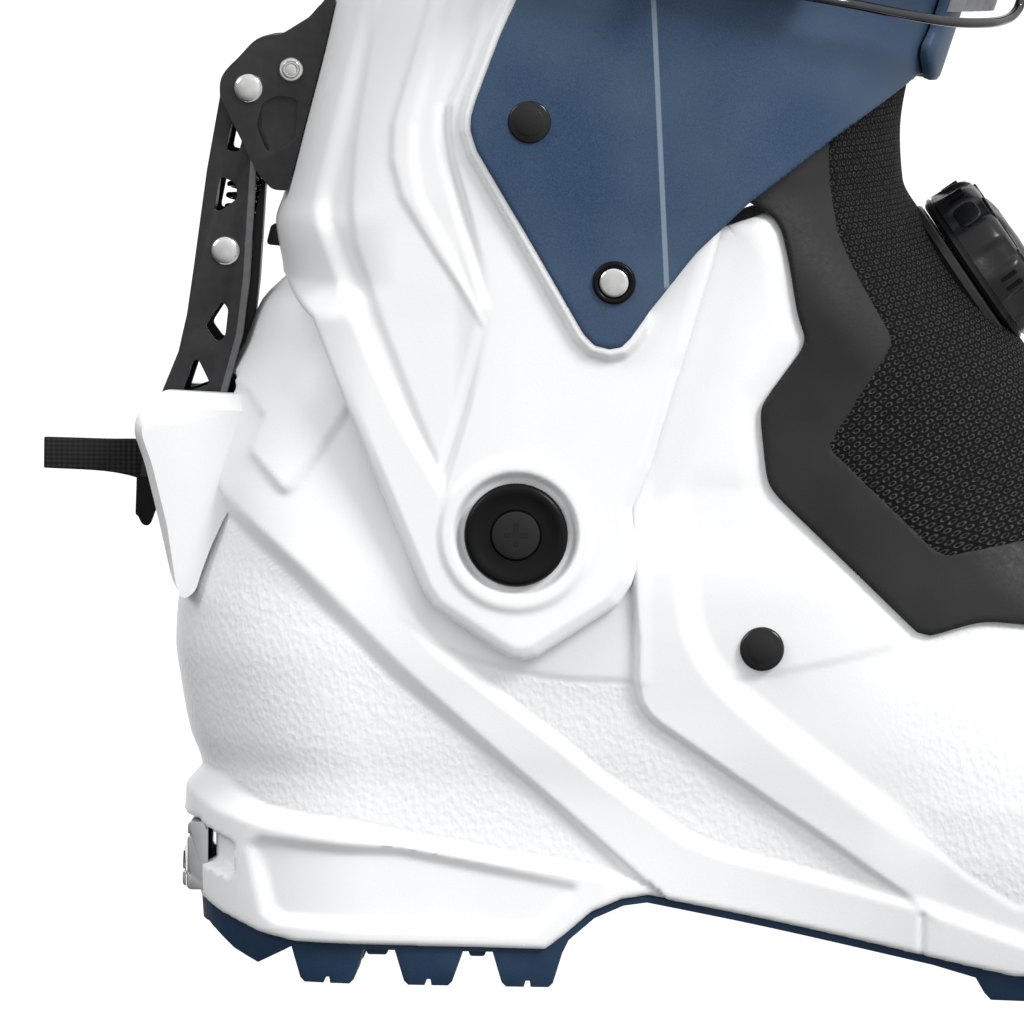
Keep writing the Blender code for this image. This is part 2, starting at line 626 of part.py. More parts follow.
def lace_cable():
    """Steel lace between the liner and the gaiter, in runs across the instep."""
    route = []
    for i, z in enumerate((148.0, 138.0, 129.0, 120.0, 112.0, 105.0, 99.0)):
        y = 0.0 if i == 0 else (13.0 if i % 2 else -13.0)
        route.append((front_x(LOWER_ROWS, y, z, -1.9), y, z))
    wire("lace_cable", smooth_route(route, 3), 0.6, STEEL, resolution=0)


# ---------------------------------------------------------------- ankle pivots

def ankle_pivots():
    for side, tag in ((-1, "lateral"), (1, "medial")):
        centre = (PIVOT_X, 0, PIVOT_Z)
        out = (0, side, 0)
        nut = turned("pivot_tnut_" + tag, [(39.4, 9.0), (40.4, 9.0), (40.4, TNUT_R),
                                           (46.6, TNUT_R)], centre, out, STEEL, 20)
        cut(nut, rod("bore", (PIVOT_X, side * 38, PIVOT_Z), (PIVOT_X, side * 50, PIVOT_Z),
                     SCREW_R + 0.3, sides=12))
        bush = turned("pivot_bush_" + tag, [(42.9, BUSH_R), (46.8, BUSH_R)], centre, out,
                      BOARD, 24)
        cut(bush, rod("bore", (PIVOT_X, side * 40, PIVOT_Z), (PIVOT_X, side * 50, PIVOT_Z),
                      TNUT_R + 0.35, sides=20))
        washer = turned("pivot_washer_" + tag, [(47.3, 9.6), (47.8, WASHER_R), (49.2, 9.9),
                                                (49.7, 8.6), (49.0, 5.6)], centre, out, BLACK, 32)
        cut(washer, rod("bore", (PIVOT_X, side * 46, PIVOT_Z), (PIVOT_X, side * 52, PIVOT_Z),
                        SCREW_R + 0.35, sides=12))
        screw = turned("pivot_screw_" + tag, [(41.6, SCREW_R), (49.3, SCREW_R), (49.3, 5.0),
                                              (50.3, 5.0), (50.9, 4.3)], centre, out, BLACK, 20)
        for half in ((2.4, 0.55), (0.55, 2.4)):
            low = (PIVOT_X - half[0], side * 50 if side < 0 else 50, PIVOT_Z - half[1])
            high = (PIVOT_X + half[0], side * 52 if side < 0 else 52, PIVOT_Z + half[1])
            low, high = [tuple(map(f, low, high)) for f in (min, max)]
            cut(screw, block("cross", low, high))
        for piece in (nut, bush, washer, screw):
            tidy(piece)


# ---------------------------------------------------------------- cuff

CUFF_LEVELS = (62, 100, 137, 147, 156.6, 162.5, 180, 203, 240, 288)
WING_RIVETS = (("upper", 19.3, 179.0), ("lower", 36.9, 146.5))


def cuff_shell():
    cuff = layer("cuff_shell", CUFF_ROWS, CUFF_LEVELS, (-CUFF_WALL, 0.0), WHITE)
    keep_inside(cuff, prism("trim", CUFF_EDGE, -90, 90))
    for side in (-1, 1):
        centre = (PIVOT_X, 0, PIVOT_Z)
        cut(cuff, turned("bore", [(40, BUSH_R + GAP), (52, BUSH_R + GAP)], centre,
                         (0, side, 0), sides=24))
        cut(cuff, turned("recess", [(47.0, RECESS_R - 1.2), (49.0, RECESS_R + 0.6)], centre,
                         (0, side, 0), sides=32))
        for _, x, z in WING_RIVETS:
            cut(cuff, rod("hole", (x, side * 40, z), (x, side * 60, z), 2.2, sides=10))
    return tidy(cuff)


def wings():
    levels = (128, 137, 150, 163, 176, 185, 203, 225, 252)
    for side, tag in ((-1, "lateral"), (1, "medial")):
        wing = layer("wing_" + tag, CUFF_ROWS, levels, WING_LAYER, BLUE)
        low, high = (-90, 8.3) if side < 0 else (9.1, 90)
        keep_inside(wing, prism("trim", WING_EDGE, low, high))
        for _, x, z in WING_RIVETS:
            cut(wing, rod("hole", (x, side * 40, z), (x, side * 60, z), 2.2, sides=10))
        tidy(wing)
        for place, x, z in WING_RIVETS:
            y = side * (abs(side_y(CUFF_ROWS, x, z, WING_LAYER[1])) + 0.4)
            mat = BLACK if place == "upper" else STEEL
            rivet("rivet_%s_%s" % (place, tag), x, z, y, 5.8, mat, side=side)


def front_flap():
    levels = (176, 185, 203, 225, 252)
    flap = layer("front_flap", CUFF_ROWS, levels, FLAP_LAYER, BLUE)
    edge = [(75.3, 189.3), (160.0, 188.7), (160.0, 245.5), (75.3, 243.2)]
    keep_inside(flap, prism("trim", edge, -90, 90))
    free_edge = [(60.0, 180.0), (97.6, 180.0), (95.9, 190.6), (95.6, 195.5), (98.5, 203.0),
                 (108.5, 236.0), (112.0, 250.0), (60.0, 250.0)]
    cut(flap, prism("lateral_edge", free_edge, -90, 3.1))
    return tidy(flap)


def liner_cuff():
    levels = (95, 120, 150, 162.5, 176, 186, 203, 246, 285, 303)
    counts = {"end_points": 5, "flank_points": 3}
    liner = layer("liner_cuff", SHAFT_LINER_ROWS, levels, (-6.5, 0.0), FOAM, **counts)
    inside_r = SPLIT_R + SPLIT_HALF
    under = [(200.0, 60.0), (200.0, 200.0), polar(125, 58), polar(125, 72), polar(101, 72),
             polar(101, 58), polar(88, 58), polar(88, 75)]
    under += [polar(inside_r, 75 + 101 * i / 11) for i in range(12)]
    cut(liner, prism("under", under + [(-90.0, 99.0), (-90.0, 60.0)], -80, 80))
    rim = [(-60.0, 300.0), (4.0, 299.0), (36.0, 288.0), (70.0, 274.0), (150.0, 266.0),
           (150.0, 340.0), (-60.0, 340.0)]
    cut(liner, prism("rim", rim, -80, 80))
    tidy(liner)
    loop = prism("liner_loop", [(-6.4, 286.0), (-4.6, 286.0), (-2.4, 299.0), (-0.6, 303.6),
                                (4.6, 305.4), (9.4, 303.4), (11.2, 299.0), (9.4, 290.0),
                                (11.2, 290.0), (13.4, 300.0), (11.2, 305.6), (4.8, 308.0),
                                (-2.0, 305.6), (-4.4, 300.0)], -9, 9, WEBBING)
    return tidy(loop)


def power_strap():
    """Band round the top of the shaft; it lies on the cuff, the wings and the flap."""
    def lie(x):
        return 3.4 + 4.2 * ramp((x - 46.0) / 24.0)

    def band(extra):
        rings = []
        for level in (0.0, 36.0):
            ring = []
            for x, y, z in outline(CUFF_ROWS, 236.0 + level, lambda x: lie(x) + extra, 6, 5):
                ring.append((x, y, z + 14.0 * (1 - (x + 10.0) / 130.0)))
            rings.append(ring)
        return rings

    strap = loft("power_strap", band(2.2), WEBBING)
    inner = band(0.0)
    inner[0] = [(x, y, z - 1) for x, y, z in inner[0]]
    inner[1] = [(x, y, z + 1) for x, y, z in inner[1]]
    cut(strap, loft("inside", inner))
    return tidy(strap)


# ---------------------------------------------------------------- walk lever and bracket

def lever_parts():
    px, pz = LEVER_PIVOT
    rx, rz = LEVER_RIVET
    lever = prism("walk_lever", LEVER_EDGE, -LEVER_HALF, LEVER_HALF, ANODISED)
    hollow = [(-43.6, 180.0), (-44.6, 178.0), (-47.1, 166.8), (-49.6, 146.7), (-50.9, 137.4),
              (-52.7, 129.8), (-56.6, 119.9), (-59.3, 110.5), (-60.3, 98.0), (-40.0, 98.0),
              (-30.0, 140.0), (-28.0, 180.0), (-36.0, 195.0), (-42.5, 195.0)]
    cut(lever, prism("hollow", hollow, -10.6, 10.6))
    for window in LEVER_WINDOWS:
        cut(lever, prism("window", window, -20, 20))
    cut(lever, rod("bore", (px, -20, pz), (px, 20, pz), 2.3, sides=14))
    cut(lever, rod("bore", (rx, -20, rz), (rx, 20, rz), 1.9, sides=12))
    tidy(lever)

    bar_edge = [(-47.6, 153.4), (-42.6, 153.4), (-43.6, 140.0), (-46.6, 125.0), (-51.6, 108.0),
                (-56.4, 108.0), (-51.4, 125.0), (-48.4, 140.0)]
    bar = prism("lever_bar", bar_edge, -3.5, 3.5, STEEL)
    cut(bar, rod("bore", (rx, -20, rz), (rx, 20, rz), 1.9, sides=12))
    tidy(bar)

    for name, x, z, reach, shank in (("lever_pin", px, pz, BRACKET_HALF + GAP, 2.0),
                                     ("lever_rivet", rx, rz, LEVER_HALF + GAP, 1.6)):
        half = [(reach + 1.2, 1.6), (reach + 0.8, 2.5), (reach, 3.0), (reach, shank)]
        profile = [(-a, r) for a, r in half] + [(a, r) for a, r in reversed(half)]
        tidy(turned(name, profile, (x, 0, z), (0, -1, 0), STEEL, 16))

    turns, per_turn, coil_r = 6, 10, 3.2
    low, high = Vector((-42.6, 0, 155.6)), Vector((-41.2, 0, 169.6))
    axis = (high - low).normalized()
    side = Vector((0, 1, 0))
    out = axis.cross(side)
    coil = []
    for i in range(turns * per_turn + 1):
        a = 2 * math.pi * i / per_turn
        along = low + (high - low) * i / (turns * per_turn)
        coil.append(along + (side * math.cos(a) + out * math.sin(a)) * coil_r)
    wire("lever_spring", coil, 0.55, STEEL, resolution=0)

    strap = prism("pull_strap", [(-62.6, 110.0), (-83.3, 110.3), (-83.3, 103.7), (-62.8, 101.2),
                                 (-63.3, 94.0), (-61.8, 92.2), (-60.6, 92.6), (-59.8, 101.8),
                                 (-62.6, 102.4)], -1.3, 1.3, WEBBING)
    tidy(strap)


def lever_bracket():
    px, pz = LEVER_PIVOT
    bracket = prism("lever_bracket", BRACKET_EDGE, -BRACKET_HALF, BRACKET_HALF, ANODISED)
    cut(bracket, tube("cuff_face", CUFF_ROWS, (150, 156.6, 162.5, 176, 192.6, 203, 215), GAP))
    room = [(-60.0, 150.0), (-39.0, 156.0), (-35.4, 166.0), (-31.0, 184.0), (-33.0, 190.4),
            (-38.0, 192.0), (-60.0, 196.0)]
    cut(bracket, prism("room", room, -12.9, 12.9))
    cut(bracket, rod("bore", (px, -20, pz), (px, 20, pz), 2.3, sides=14))
    window = [(-38.6, 176.5), (-37.4, 181.2), (-34.4, 182.8), (-32.0, 182.2), (-32.8, 174.0),
              (-34.0, 171.4), (-36.4, 171.2)]
    cut(bracket, prism("window", window, -20, 20))
    for side, tag in ((-1, "lateral"), (1, "medial")):
        hole = rod("hole", (-31.5, side * 13.2, 188.2), (-31.5, side * 20, 188.2), 1.6, sides=10)
        cut(bracket, hole)
        y = side * (BRACKET_HALF + GAP)
        rivet("bracket_screw_" + tag, -31.5, 188.2, y, 2.3, STEEL, side=side, head=2.5,
              height=0.9, shank=1.3)
    tidy(bracket)
    stub = prism("cuff_bumper", [(-37.0, 151.4), (-30.0, 150.8), (-30.0, 155.9), (-36.0, 155.7)],
                 -4, 4, BLACK)
    cut(stub, tube("cuff_face", CUFF_ROWS, (140, 145.6, 152.2, 156.6, 162.5), GAP))
    tidy(stub)


def lock_plate():
    """Steel catch on the wall of the heel slot, between the arms of the lever."""
    plate = [(PIVOT_X - r * math.cos(a), PIVOT_Z + r * math.sin(a))
             for r, a in ((66.2, 0.02), (69.2, 0.04), (69.8, 0.16), (68.4, 0.2), (66.2, 0.2))]
    tidy(prism("lock_plate", plate, -8, 8, STEEL))


# ---------------------------------------------------------------- buckle

def buckle_point(back, out, along):
    """Point in the buckle's own frame, counted from its hinge."""
    return BUCKLE_HINGE + BACKWARD * back + OUTWARD * out + SHAFT * along


def buckle_slab(name, outline_2d, low, high, mat=None):
    """Outline of (back, out) extruded along the shaft from low to high."""
    rings = [[buckle_point(b, o, w) for b, o in outline_2d] for w in (low, high)]
    return loft(name, rings, mat)


def buckle_parts():
    base = buckle_slab("buckle_base", [(-4, -4.9), (30, -4.9), (30, -3.4), (4, -3.4),
                                       (2.6, 1.6), (0, 2.6), (-2.6, 1.6), (-4, -3)],
                       -4.0, 4.0, ANODISED)
    cut(base, tube("wing_face", CUFF_ROWS, (190, 203, 225, 246), WING_LAYER[1] + GAP))
    cut(base, buckle_slab("fork", [(-10, -3.0), (12, -3.0), (12, 6), (-10, 6)], -1.6, 1.6))
    cut(base, rod("bore", buckle_point(0, 0, -20), buckle_point(0, 0, 20), 1.8, sides=12))
    tidy(base)
    pin = rod("buckle_pin", buckle_point(0, 0, -6.8), buckle_point(0, 0, 6.8), 1.5, STEEL,
              sides=12)
    tidy(pin)

    pad = [(25.0, 4.42), (46, 4.6), (58, 6.2), (60, 7.4), (58, 8.0), (46, 6.2), (25.0, 6.05)]
    handle = buckle_slab("buckle_lever", pad, -11.6, 11.6, ANODISED)
    neck = [(2.4, 3.7), (20, 4.3), (28, 4.5), (28, 5.95), (20, 5.8), (3.2, 5.0)]
    join(handle, buckle_slab("neck", neck, -6.1, 6.1))
    arms = [(-3.2, -2.2), (14, -2.2), (20, 0.0), (24, 4.9), (3.4, 4.2), (-3.2, 2.4)]
    for low, high in ((-6.2, -4.4), (4.4, 6.2)):
        join(handle, buckle_slab("arm", arms, low, high))
    cut(handle, rod("bore", buckle_point(0, 0, -20), buckle_point(0, 0, 20), 1.8, sides=12))
    cut(handle, rod("bore", buckle_point(BAIL_THROW, 0.4, -20),
                    buckle_point(BAIL_THROW, 0.4, 20), BAIL_R + 0.35, sides=12))
    tidy(handle)

    start = buckle_point(BAIL_THROW, 0.4, 0)
    centre_line = (
        (start, 4.7), (start, 7.0), (buckle_point(BAIL_THROW - 1.0, 0.4, 0), 8.0),
        (buckle_point(0, 0.4, 0), 8.0), (Vector((86.6, -57.0, 210.3)), 8.0),
        (Vector((95.1, -49.0, 208.6)), 8.0), (Vector((106.1, -36.0, 206.7)), 8.0),
        (Vector((114.0, -22.0, 206.3)), 7.9), (Vector((118.1, -11.0, 206.6)), 7.4),
        (Vector((119.8, -5.5, 206.8)), 5.6), (Vector((120.2, -4.2, 207.1)), 2.8),
    )
    low = [p - SHAFT * half for p, half in centre_line]
    high = [p + SHAFT * half for p, half in reversed(centre_line)]
    wire("wire_bail", smooth_route(low + high, 2), BAIL_R, CHROME, resolution=1)


def rack():
    """Toothed rack on the flap, where the bail hooks in."""
    def plan(extra, y):
        return front_x(CUFF_ROWS, y, 211.0, FLAP_LAYER[1] + extra)

    rings = []
    for z in (202.0, 216.0):
        lean = (z - 211.0) * math.tan(LEAN) * 1.22
        inner = [(plan(1.2, y) + lean, y, z) for y in (18, 12, 6, 0, -6, -12, -18)]
        outer = []
        for i, y in enumerate((-18, -13, -8, -3, 2, 7, 12)):
            tip = 3.4 + 0.9 * i
            outer.append((plan(2.6, y) + lean, y, z))
            outer.append((plan(2.0, y) + lean + tip, y + 1.2, z))
            outer.append((plan(2.0, y + 3) + lean + tip * 0.7, y + 3.2, z))
        outer.append((plan(2.0, 18) + lean, 18, z))
        rings.append(inner + outer)
    return tidy(loft("rack", rings, BLACK))


lower_shell()
outsole()
binding_inserts()
boot_board()
liner_lower()
gaiter()
shell_rivets()
lace_dial()
lace_cable()
ankle_pivots()
cuff_shell()
wings()
front_flap()
liner_cuff()
power_strap()
lever_parts()
lever_bracket()
lock_plate()
buckle_parts()
rack()
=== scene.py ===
"""Looks of the alpine touring boot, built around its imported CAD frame.

The body surfaces are the CAD model's own section tables, meshed finely; ribs, panels, bevels and lips
are heights over them, given by outlines in side view. Lengths here are in millimetres; meshes are in metres.
"""
import math

import bmesh
import bpy
import numpy as np
from mathutils import Matrix, Vector


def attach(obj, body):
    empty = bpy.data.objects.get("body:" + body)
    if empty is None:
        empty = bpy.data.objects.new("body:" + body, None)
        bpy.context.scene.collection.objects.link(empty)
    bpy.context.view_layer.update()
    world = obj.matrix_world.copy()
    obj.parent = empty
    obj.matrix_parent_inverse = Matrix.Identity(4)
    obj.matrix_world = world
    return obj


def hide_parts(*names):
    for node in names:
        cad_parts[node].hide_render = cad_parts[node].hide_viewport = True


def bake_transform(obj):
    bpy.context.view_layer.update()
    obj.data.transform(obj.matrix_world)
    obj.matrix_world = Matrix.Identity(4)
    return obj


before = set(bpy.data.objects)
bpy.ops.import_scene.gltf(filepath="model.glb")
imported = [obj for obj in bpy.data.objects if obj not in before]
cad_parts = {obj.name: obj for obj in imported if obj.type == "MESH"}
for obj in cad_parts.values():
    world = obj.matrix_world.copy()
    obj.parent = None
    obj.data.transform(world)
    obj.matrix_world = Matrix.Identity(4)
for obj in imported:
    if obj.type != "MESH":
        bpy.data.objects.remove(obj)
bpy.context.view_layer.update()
MM = 0.001

# ---------------------------------------------------------------- driving dimensions, as in the CAD model
PIVOT = (17.5, 94.5)
STATIONS = (-25.0, 18.0, 60.0, 140.0)
LEAN = math.radians(15.0)
SHAFT = Vector((math.sin(LEAN), 0.0, math.cos(LEAN)))
BACKWARD = Vector((-math.cos(LEAN), 0.0, math.sin(LEAN)))
OUTWARD = Vector((0.0, -1.0, 0.0))
DIAL_CENTRE = Vector((108.7, 0.0, 147.1))
DIAL_AXIS = Vector((0.82, 0.0, 0.573)).normalized()
DIAL_R = 17.15
BUCKLE_HINGE = Vector((76.5, -59.5, 212.0))
BAIL_THROW = 11.0
LEVER_PIVOT = (-40.3, 184.2)
LEVER_RIVET = (-44.9, 150.3)
LEVER_HALF = 12.3
BRACKET_HALF = 15.6
CRADLE_HALF = 21.5
WING_RIVETS = ((19.3, 179.0), (36.9, 146.5))
SHELL_RIVET = (68.0, 71.5)
SHELL_WALL = 3.0
CUFF_WALL = 3.6
WING_TOP = 2.8
FLAP_TOP = 5.8
BOARD_TOP = 26.8
SPLIT_R = 71.5
SPLIT_HALF = 1.5

# z, rear x, front x, half widths at STATIONS, length of rear end, length of front end.
# The heel's ledge is left out here: it is a height over the surface.
LOWER_ROWS = np.array((
    (-5.0, -47.5, 200.0, 32.0, 32.0, 31.0, 43.0, 36.0, 46.0),
    (8.0, -48.6, 208.0, 34.2, 34.5, 33.0, 47.5, 37.0, 48.0),
    (20.0, -49.4, 212.5, 35.0, 35.0, 33.8, 50.0, 37.0, 50.0),
    (31.0, -49.6, 213.0, 35.4, 35.4, 34.6, 51.5, 37.0, 52.0),
    (38.8, -49.3, 212.0, 35.6, 36.0, 35.4, 51.5, 37.0, 52.0),
    (42.0, -49.3, 211.0, 35.8, 36.4, 36.0, 51.0, 36.5, 52.0),
    (50.0, -51.9, 207.5, 37.0, 38.0, 37.5, 49.5, 37.0, 54.0),
    (60.0, -53.9, 199.0, 38.0, 39.5, 39.0, 46.5, 38.0, 55.0),
    (69.0, -55.1, 186.0, 38.3, 41.0, 40.5, 42.5, 38.0, 52.0),
    (76.0, -54.8, 170.0, 38.0, 41.8, 41.5, 39.5, 38.0, 48.0),
    (84.0, -53.0, 156.0, 37.5, 42.3, 42.3, 36.5, 37.0, 44.0),
    (92.0, -50.5, 147.5, 36.8, 42.5, 42.5, 34.0, 36.0, 42.0),
    (104.0, -47.5, 137.5, 36.3, 42.5, 42.5, 31.0, 35.0, 40.0),
    (118.0, -44.0, 128.5, 36.0, 42.5, 42.5, 29.0, 35.0, 38.0),
    (130.0, -38.8, 120.4, 36.0, 42.5, 42.5, 28.0, 35.0, 36.0),
    (138.0, -35.8, 114.3, 36.5, 42.5, 42.5, 28.0, 35.0, 36.0),
    (147.0, -28.4, 106.8, 37.0, 42.5, 42.5, 28.0, 34.0, 36.0),
    (157.0, -28.0, 98.6, 38.0, 42.5, 42.5, 28.0, 37.0, 36.0),
    (166.0, -27.0, 93.3, 39.0, 42.5, 42.5, 28.0, 38.0, 36.0),
    (176.0, -26.5, 92.6, 40.0, 42.5, 42.5, 30.0, 40.0, 40.0),
    (195.0, -22.0, 95.6, 40.0, 42.5, 42.5, 30.0, 40.0, 42.0),
))
CUFF_ROWS = np.array((
    (55.0, -41.0, 74.0, 44.0, 48.2, 48.0, 40.0, 28.0, 34.0),
    (95.0, -41.0, 78.0, 44.0, 48.2, 48.0, 40.0, 28.0, 34.0),
    (137.0, -40.0, 84.0, 44.5, 48.6, 48.4, 40.0, 28.0, 34.0),
    (145.6, -33.4, 86.0, 45.0, 48.8, 48.6, 40.0, 26.0, 34.0),
    (156.6, -35.1, 88.5, 45.5, 49.0, 49.0, 40.0, 28.0, 34.0),
    (162.5, -33.4, 89.8, 46.0, 49.3, 49.4, 40.0, 29.0, 34.0),
    (176.0, -30.2, 92.8, 46.5, 50.0, 50.2, 42.0, 32.0, 36.0),
    (192.6, -26.3, 98.2, 47.0, 51.0, 51.2, 44.0, 36.0, 42.0),
    (203.0, -24.1, 101.5, 47.5, 51.5, 51.7, 45.0, 38.0, 46.0),
    (246.0, -14.1, 115.5, 49.0, 53.0, 53.3, 50.0, 44.0, 52.0),
    (285.0, -5.0, 128.0, 50.0, 54.0, 54.8, 53.0, 48.0, 54.0),
    (310.0, 0.8, 136.0, 50.5, 54.5, 55.5, 54.0, 50.0, 55.0),
))
SHAFT_LINER_ROWS = np.array((
    (90.0, -25.0, 72.0, 34.0, 38.0, 38.0, 30.0, 36.0, 38.0),
    (150.0, -29.8, 84.0, 35.0, 38.0, 38.0, 32.0, 38.0, 38.0),
    (162.5, -29.2, 86.0, 35.0, 38.0, 38.0, 32.0, 38.0, 38.0),
    (186.0, -22.8, 94.0, 36.0, 38.2, 38.2, 34.0, 36.0, 40.0),
    (203.0, -18.9, 99.5, 41.0, 45.3, 45.5, 39.0, 40.0, 44.0),
    (246.0, -8.9, 113.5, 43.0, 46.8, 47.3, 44.0, 44.0, 48.0),
    (285.0, 0.2, 125.5, 44.5, 48.3, 48.8, 47.0, 46.0, 50.0),
    (305.0, 4.8, 132.0, 45.0, 48.8, 49.3, 48.0, 46.0, 51.0),
))

# Side-view outlines, x and z
SOLE_LINE = (
    (-46.7, 16.9), (-42.0, 13.7), (-33.9, 10.2), (-26.9, 8.8), (24.1, 8.2), (28.0, 11.2),
    (33.5, 16.1), (39.8, 18.8), (45.3, 19.6), (121.0, 5.9), (142.0, 6.4), (166.0, 9.2),
    (186.0, 13.6), (200.0, 18.6), (214.0, 25.5),
)
SHELL_TOP = (
    (240.0, 60.0), (156.0, 93.0), (122.0, 91.5), (104.0, 91.0), (82.0, 113.0), (86.0, 124.0),
    (76.0, 137.0), (70.0, 150.0), (67.0, 163.0), (54.0, 156.0), (36.0, 149.0), (12.0, 146.0),
    (-80.0, 146.0),
)
GAITER_EDGE = (
    (62.0, 164.0), (68.2, 160.7), (70.7, 157.8), (72.4, 150.5), (74.3, 139.6), (76.3, 134.5),
    (67.4, 122.0), (66.9, 119.2), (68.5, 106.0), (70.3, 103.1), (99.5, 75.4), (101.6, 74.3),
    (109.7, 76.9), (114.1, 77.8), (121.0, 77.2), (146.0, 76.0), (166.0, 79.0), (200.0, 84.0),
    (200.0, 190.5), (90.0, 190.5), (76.0, 181.0), (60.0, 168.0),
)
KNIT_EDGE = (
    (78.7, 180.0), (79.2, 166.5), (81.2, 156.3), (84.9, 148.4), (92.6, 135.2), (92.6, 133.3),
    (80.9, 114.1), (80.9, 112.2), (102.8, 91.4), (105.3, 90.4), (121.0, 93.3), (146.0, 92.0),
    (200.0, 96.0), (200.0, 200.0), (78.7, 200.0),
)
CUFF_EDGE = (
    (-80.0, 145.2), (-33.0, 145.2), (-25.5, 137.6), (-18.3, 120.0), (-11.0, 103.3),
    (-1.9, 82.4), (0.7, 78.8), (13.5, 70.7), (16.7, 69.0), (19.1, 68.7), (22.0, 69.4),
    (38.6, 80.3), (41.2, 84.6), (42.0, 87.2), (42.0, 91.5), (41.0, 100.0), (44.5, 108.0),
    (51.0, 130.0), (57.0, 150.0), (68.0, 200.0), (78.0, 236.0), (74.0, 250.0), (52.0, 264.0),
    (20.0, 277.0), (-8.0, 282.0), (-80.0, 282.0),
)
WING_EDGE = (
    (16.3, 203.7), (13.3, 196.7), (8.4, 183.0), (7.6, 180.0), (7.5, 177.2), (8.8, 173.1),
    (30.8, 135.9), (33.0, 133.7), (36.1, 132.9), (38.6, 133.4), (40.4, 135.2), (44.2, 140.8),
    (53.4, 152.7), (63.1, 163.1), (79.0, 176.3), (89.6, 184.5), (96.0, 189.5), (160.0, 190.3),
    (160.0, 244.0), (100.0, 247.0), (60.0, 250.0), (36.0, 250.0), (29.0, 245.0), (22.0, 223.0),
)
HEEL_LUGS = ((-26.3, -15.7), (-4.7, 4.7), (15.5, 25.5))
FORE_LUGS = ((115.0, 124.0), (130.5, 139.5), (146.0, 154.5), (161.0, 169.0), (175.5, 183.0))
LUG_DRAFT = 2.2
HEEL_BASE = 7.3
LEVER_EDGE = (
    (-46.3, 184.2), (-46.5, 182.0), (-49.0, 167.0), (-51.5, 146.9), (-52.8, 137.1),
    (-54.5, 129.2), (-58.5, 119.1), (-61.2, 110.0), (-62.2, 103.0), (-50.0, 103.0),
    (-48.9, 105.0), (-47.6, 111.0), (-45.1, 118.4), (-41.3, 133.1), (-40.1, 144.0),
    (-39.2, 161.2), (-38.6, 172.0), (-34.6, 181.0), (-34.4, 186.0), (-36.6, 189.0),
    (-40.3, 190.2), (-44.2, 188.8),
)
LEVER_WINDOWS = (
    ((-45.1, 171.2), (-42.4, 170.8), (-41.7, 173.5), (-42.2, 176.9), (-44.0, 177.0)),
    ((-47.5, 158.9), (-46.3, 158.4), (-42.6, 161.2), (-42.9, 164.4), (-46.2, 165.8)),
    ((-49.0, 134.5), (-46.5, 131.2), (-44.8, 132.4), (-44.2, 138.4), (-45.6, 139.8)),
    ((-53.6, 120.4), (-47.8, 122.6), (-50.3, 127.6), (-51.4, 127.4)),
)
BRACKET_EDGE = (
    (-46.3, 185.9), (-44.9, 188.2), (-42.1, 190.9), (-39.8, 193.2), (-37.3, 194.1),
    (-35.0, 194.4), (-28.3, 198.6), (-24.9, 202.6), (-12.0, 202.6), (-12.0, 163.1),
    (-35.0, 163.1), (-36.5, 164.6), (-38.5, 167.0), (-40.1, 170.2), (-45.3, 180.6),
    (-46.3, 182.2),
)

# ---------------------------------------------------------------- camera and light

LENS_MM = 337.0
EYE = (0.085, -2.0, 0.23)
AIM = (0.0165, -0.045, 0.099)
ROLL = math.radians(0.75)


def make_camera():
    camera = bpy.data.objects.new("camera", bpy.data.cameras.new("camera"))
    bpy.context.scene.collection.objects.link(camera)
    camera.data.lens = LENS_MM
    camera.data.sensor_width = 36.0
    camera.data.clip_start = 0.05
    camera.location = EYE
    aim = Vector(AIM) - camera.location
    turn = aim.to_track_quat("-Z", "Y").to_matrix()
    camera.rotation_euler = (turn @ Matrix.Rotation(ROLL, 3, "Z")).to_euler()
    bpy.context.scene.camera = camera


def sun(name, direction, strength, angle, colour=(1.0, 1.0, 1.0)):
    lamp = bpy.data.lights.new(name, "SUN")
    lamp.energy, lamp.angle, lamp.color = strength, math.radians(angle), colour
    holder = bpy.data.objects.new(name, lamp)
    holder.rotation_euler = Vector(direction).to_track_quat("-Z", "Y").to_euler()
    bpy.context.scene.collection.objects.link(holder)


def make_studio():
    """White backdrop behind the boot, brighter light from the upper right, little from below."""
    scene = bpy.context.scene
    scene.view_settings.view_transform = "Standard"
    world = bpy.data.worlds.new("studio")
    scene.world = world
    world.use_nodes = True
    tree = world.node_tree
    where = tree.nodes.new("ShaderNodeTexCoord")

    def share(direction, start, end, low, high):
        dot = tree.nodes.new("ShaderNodeVectorMath")
        dot.operation = "DOT_PRODUCT"
        dot.inputs[1].default_value = Vector(direction).normalized()
        tree.links.new(where.outputs["Generated"], dot.inputs[0])
        spread = tree.nodes.new("ShaderNodeMapRange")
        spread.interpolation_type = "SMOOTHSTEP"
        for key, value in (("From Min", start), ("From Max", end), ("To Min", low), ("To Max", high)):
            spread.inputs[key].default_value = value
        tree.links.new(dot.outputs["Value"], spread.inputs["Value"])
        return spread.outputs["Result"]

    brightest = tree.nodes.new("ShaderNodeMath")
    brightest.operation = "MAXIMUM"
    tree.links.new(share((0.5, -0.25, 0.83), -1.0, 0.95, 0.08, 1.08), brightest.inputs[0])
    tree.links.new(share((0.0, 1.0, -0.03), 0.72, 0.94, 0.0, 1.12), brightest.inputs[1])
    tree.nodes["Background"].inputs["Color"].default_value = (1.0, 1.0, 1.0, 1.0)
    tree.links.new(brightest.outputs[0], tree.nodes["Background"].inputs["Strength"])
    sun("key", (-0.66, 0.62, -0.66), 2.0, 18.0)
    sun("left_edge", (0.78, 0.42, -0.55), 0.8, 26.0)


# ---------------------------------------------------------------- materials

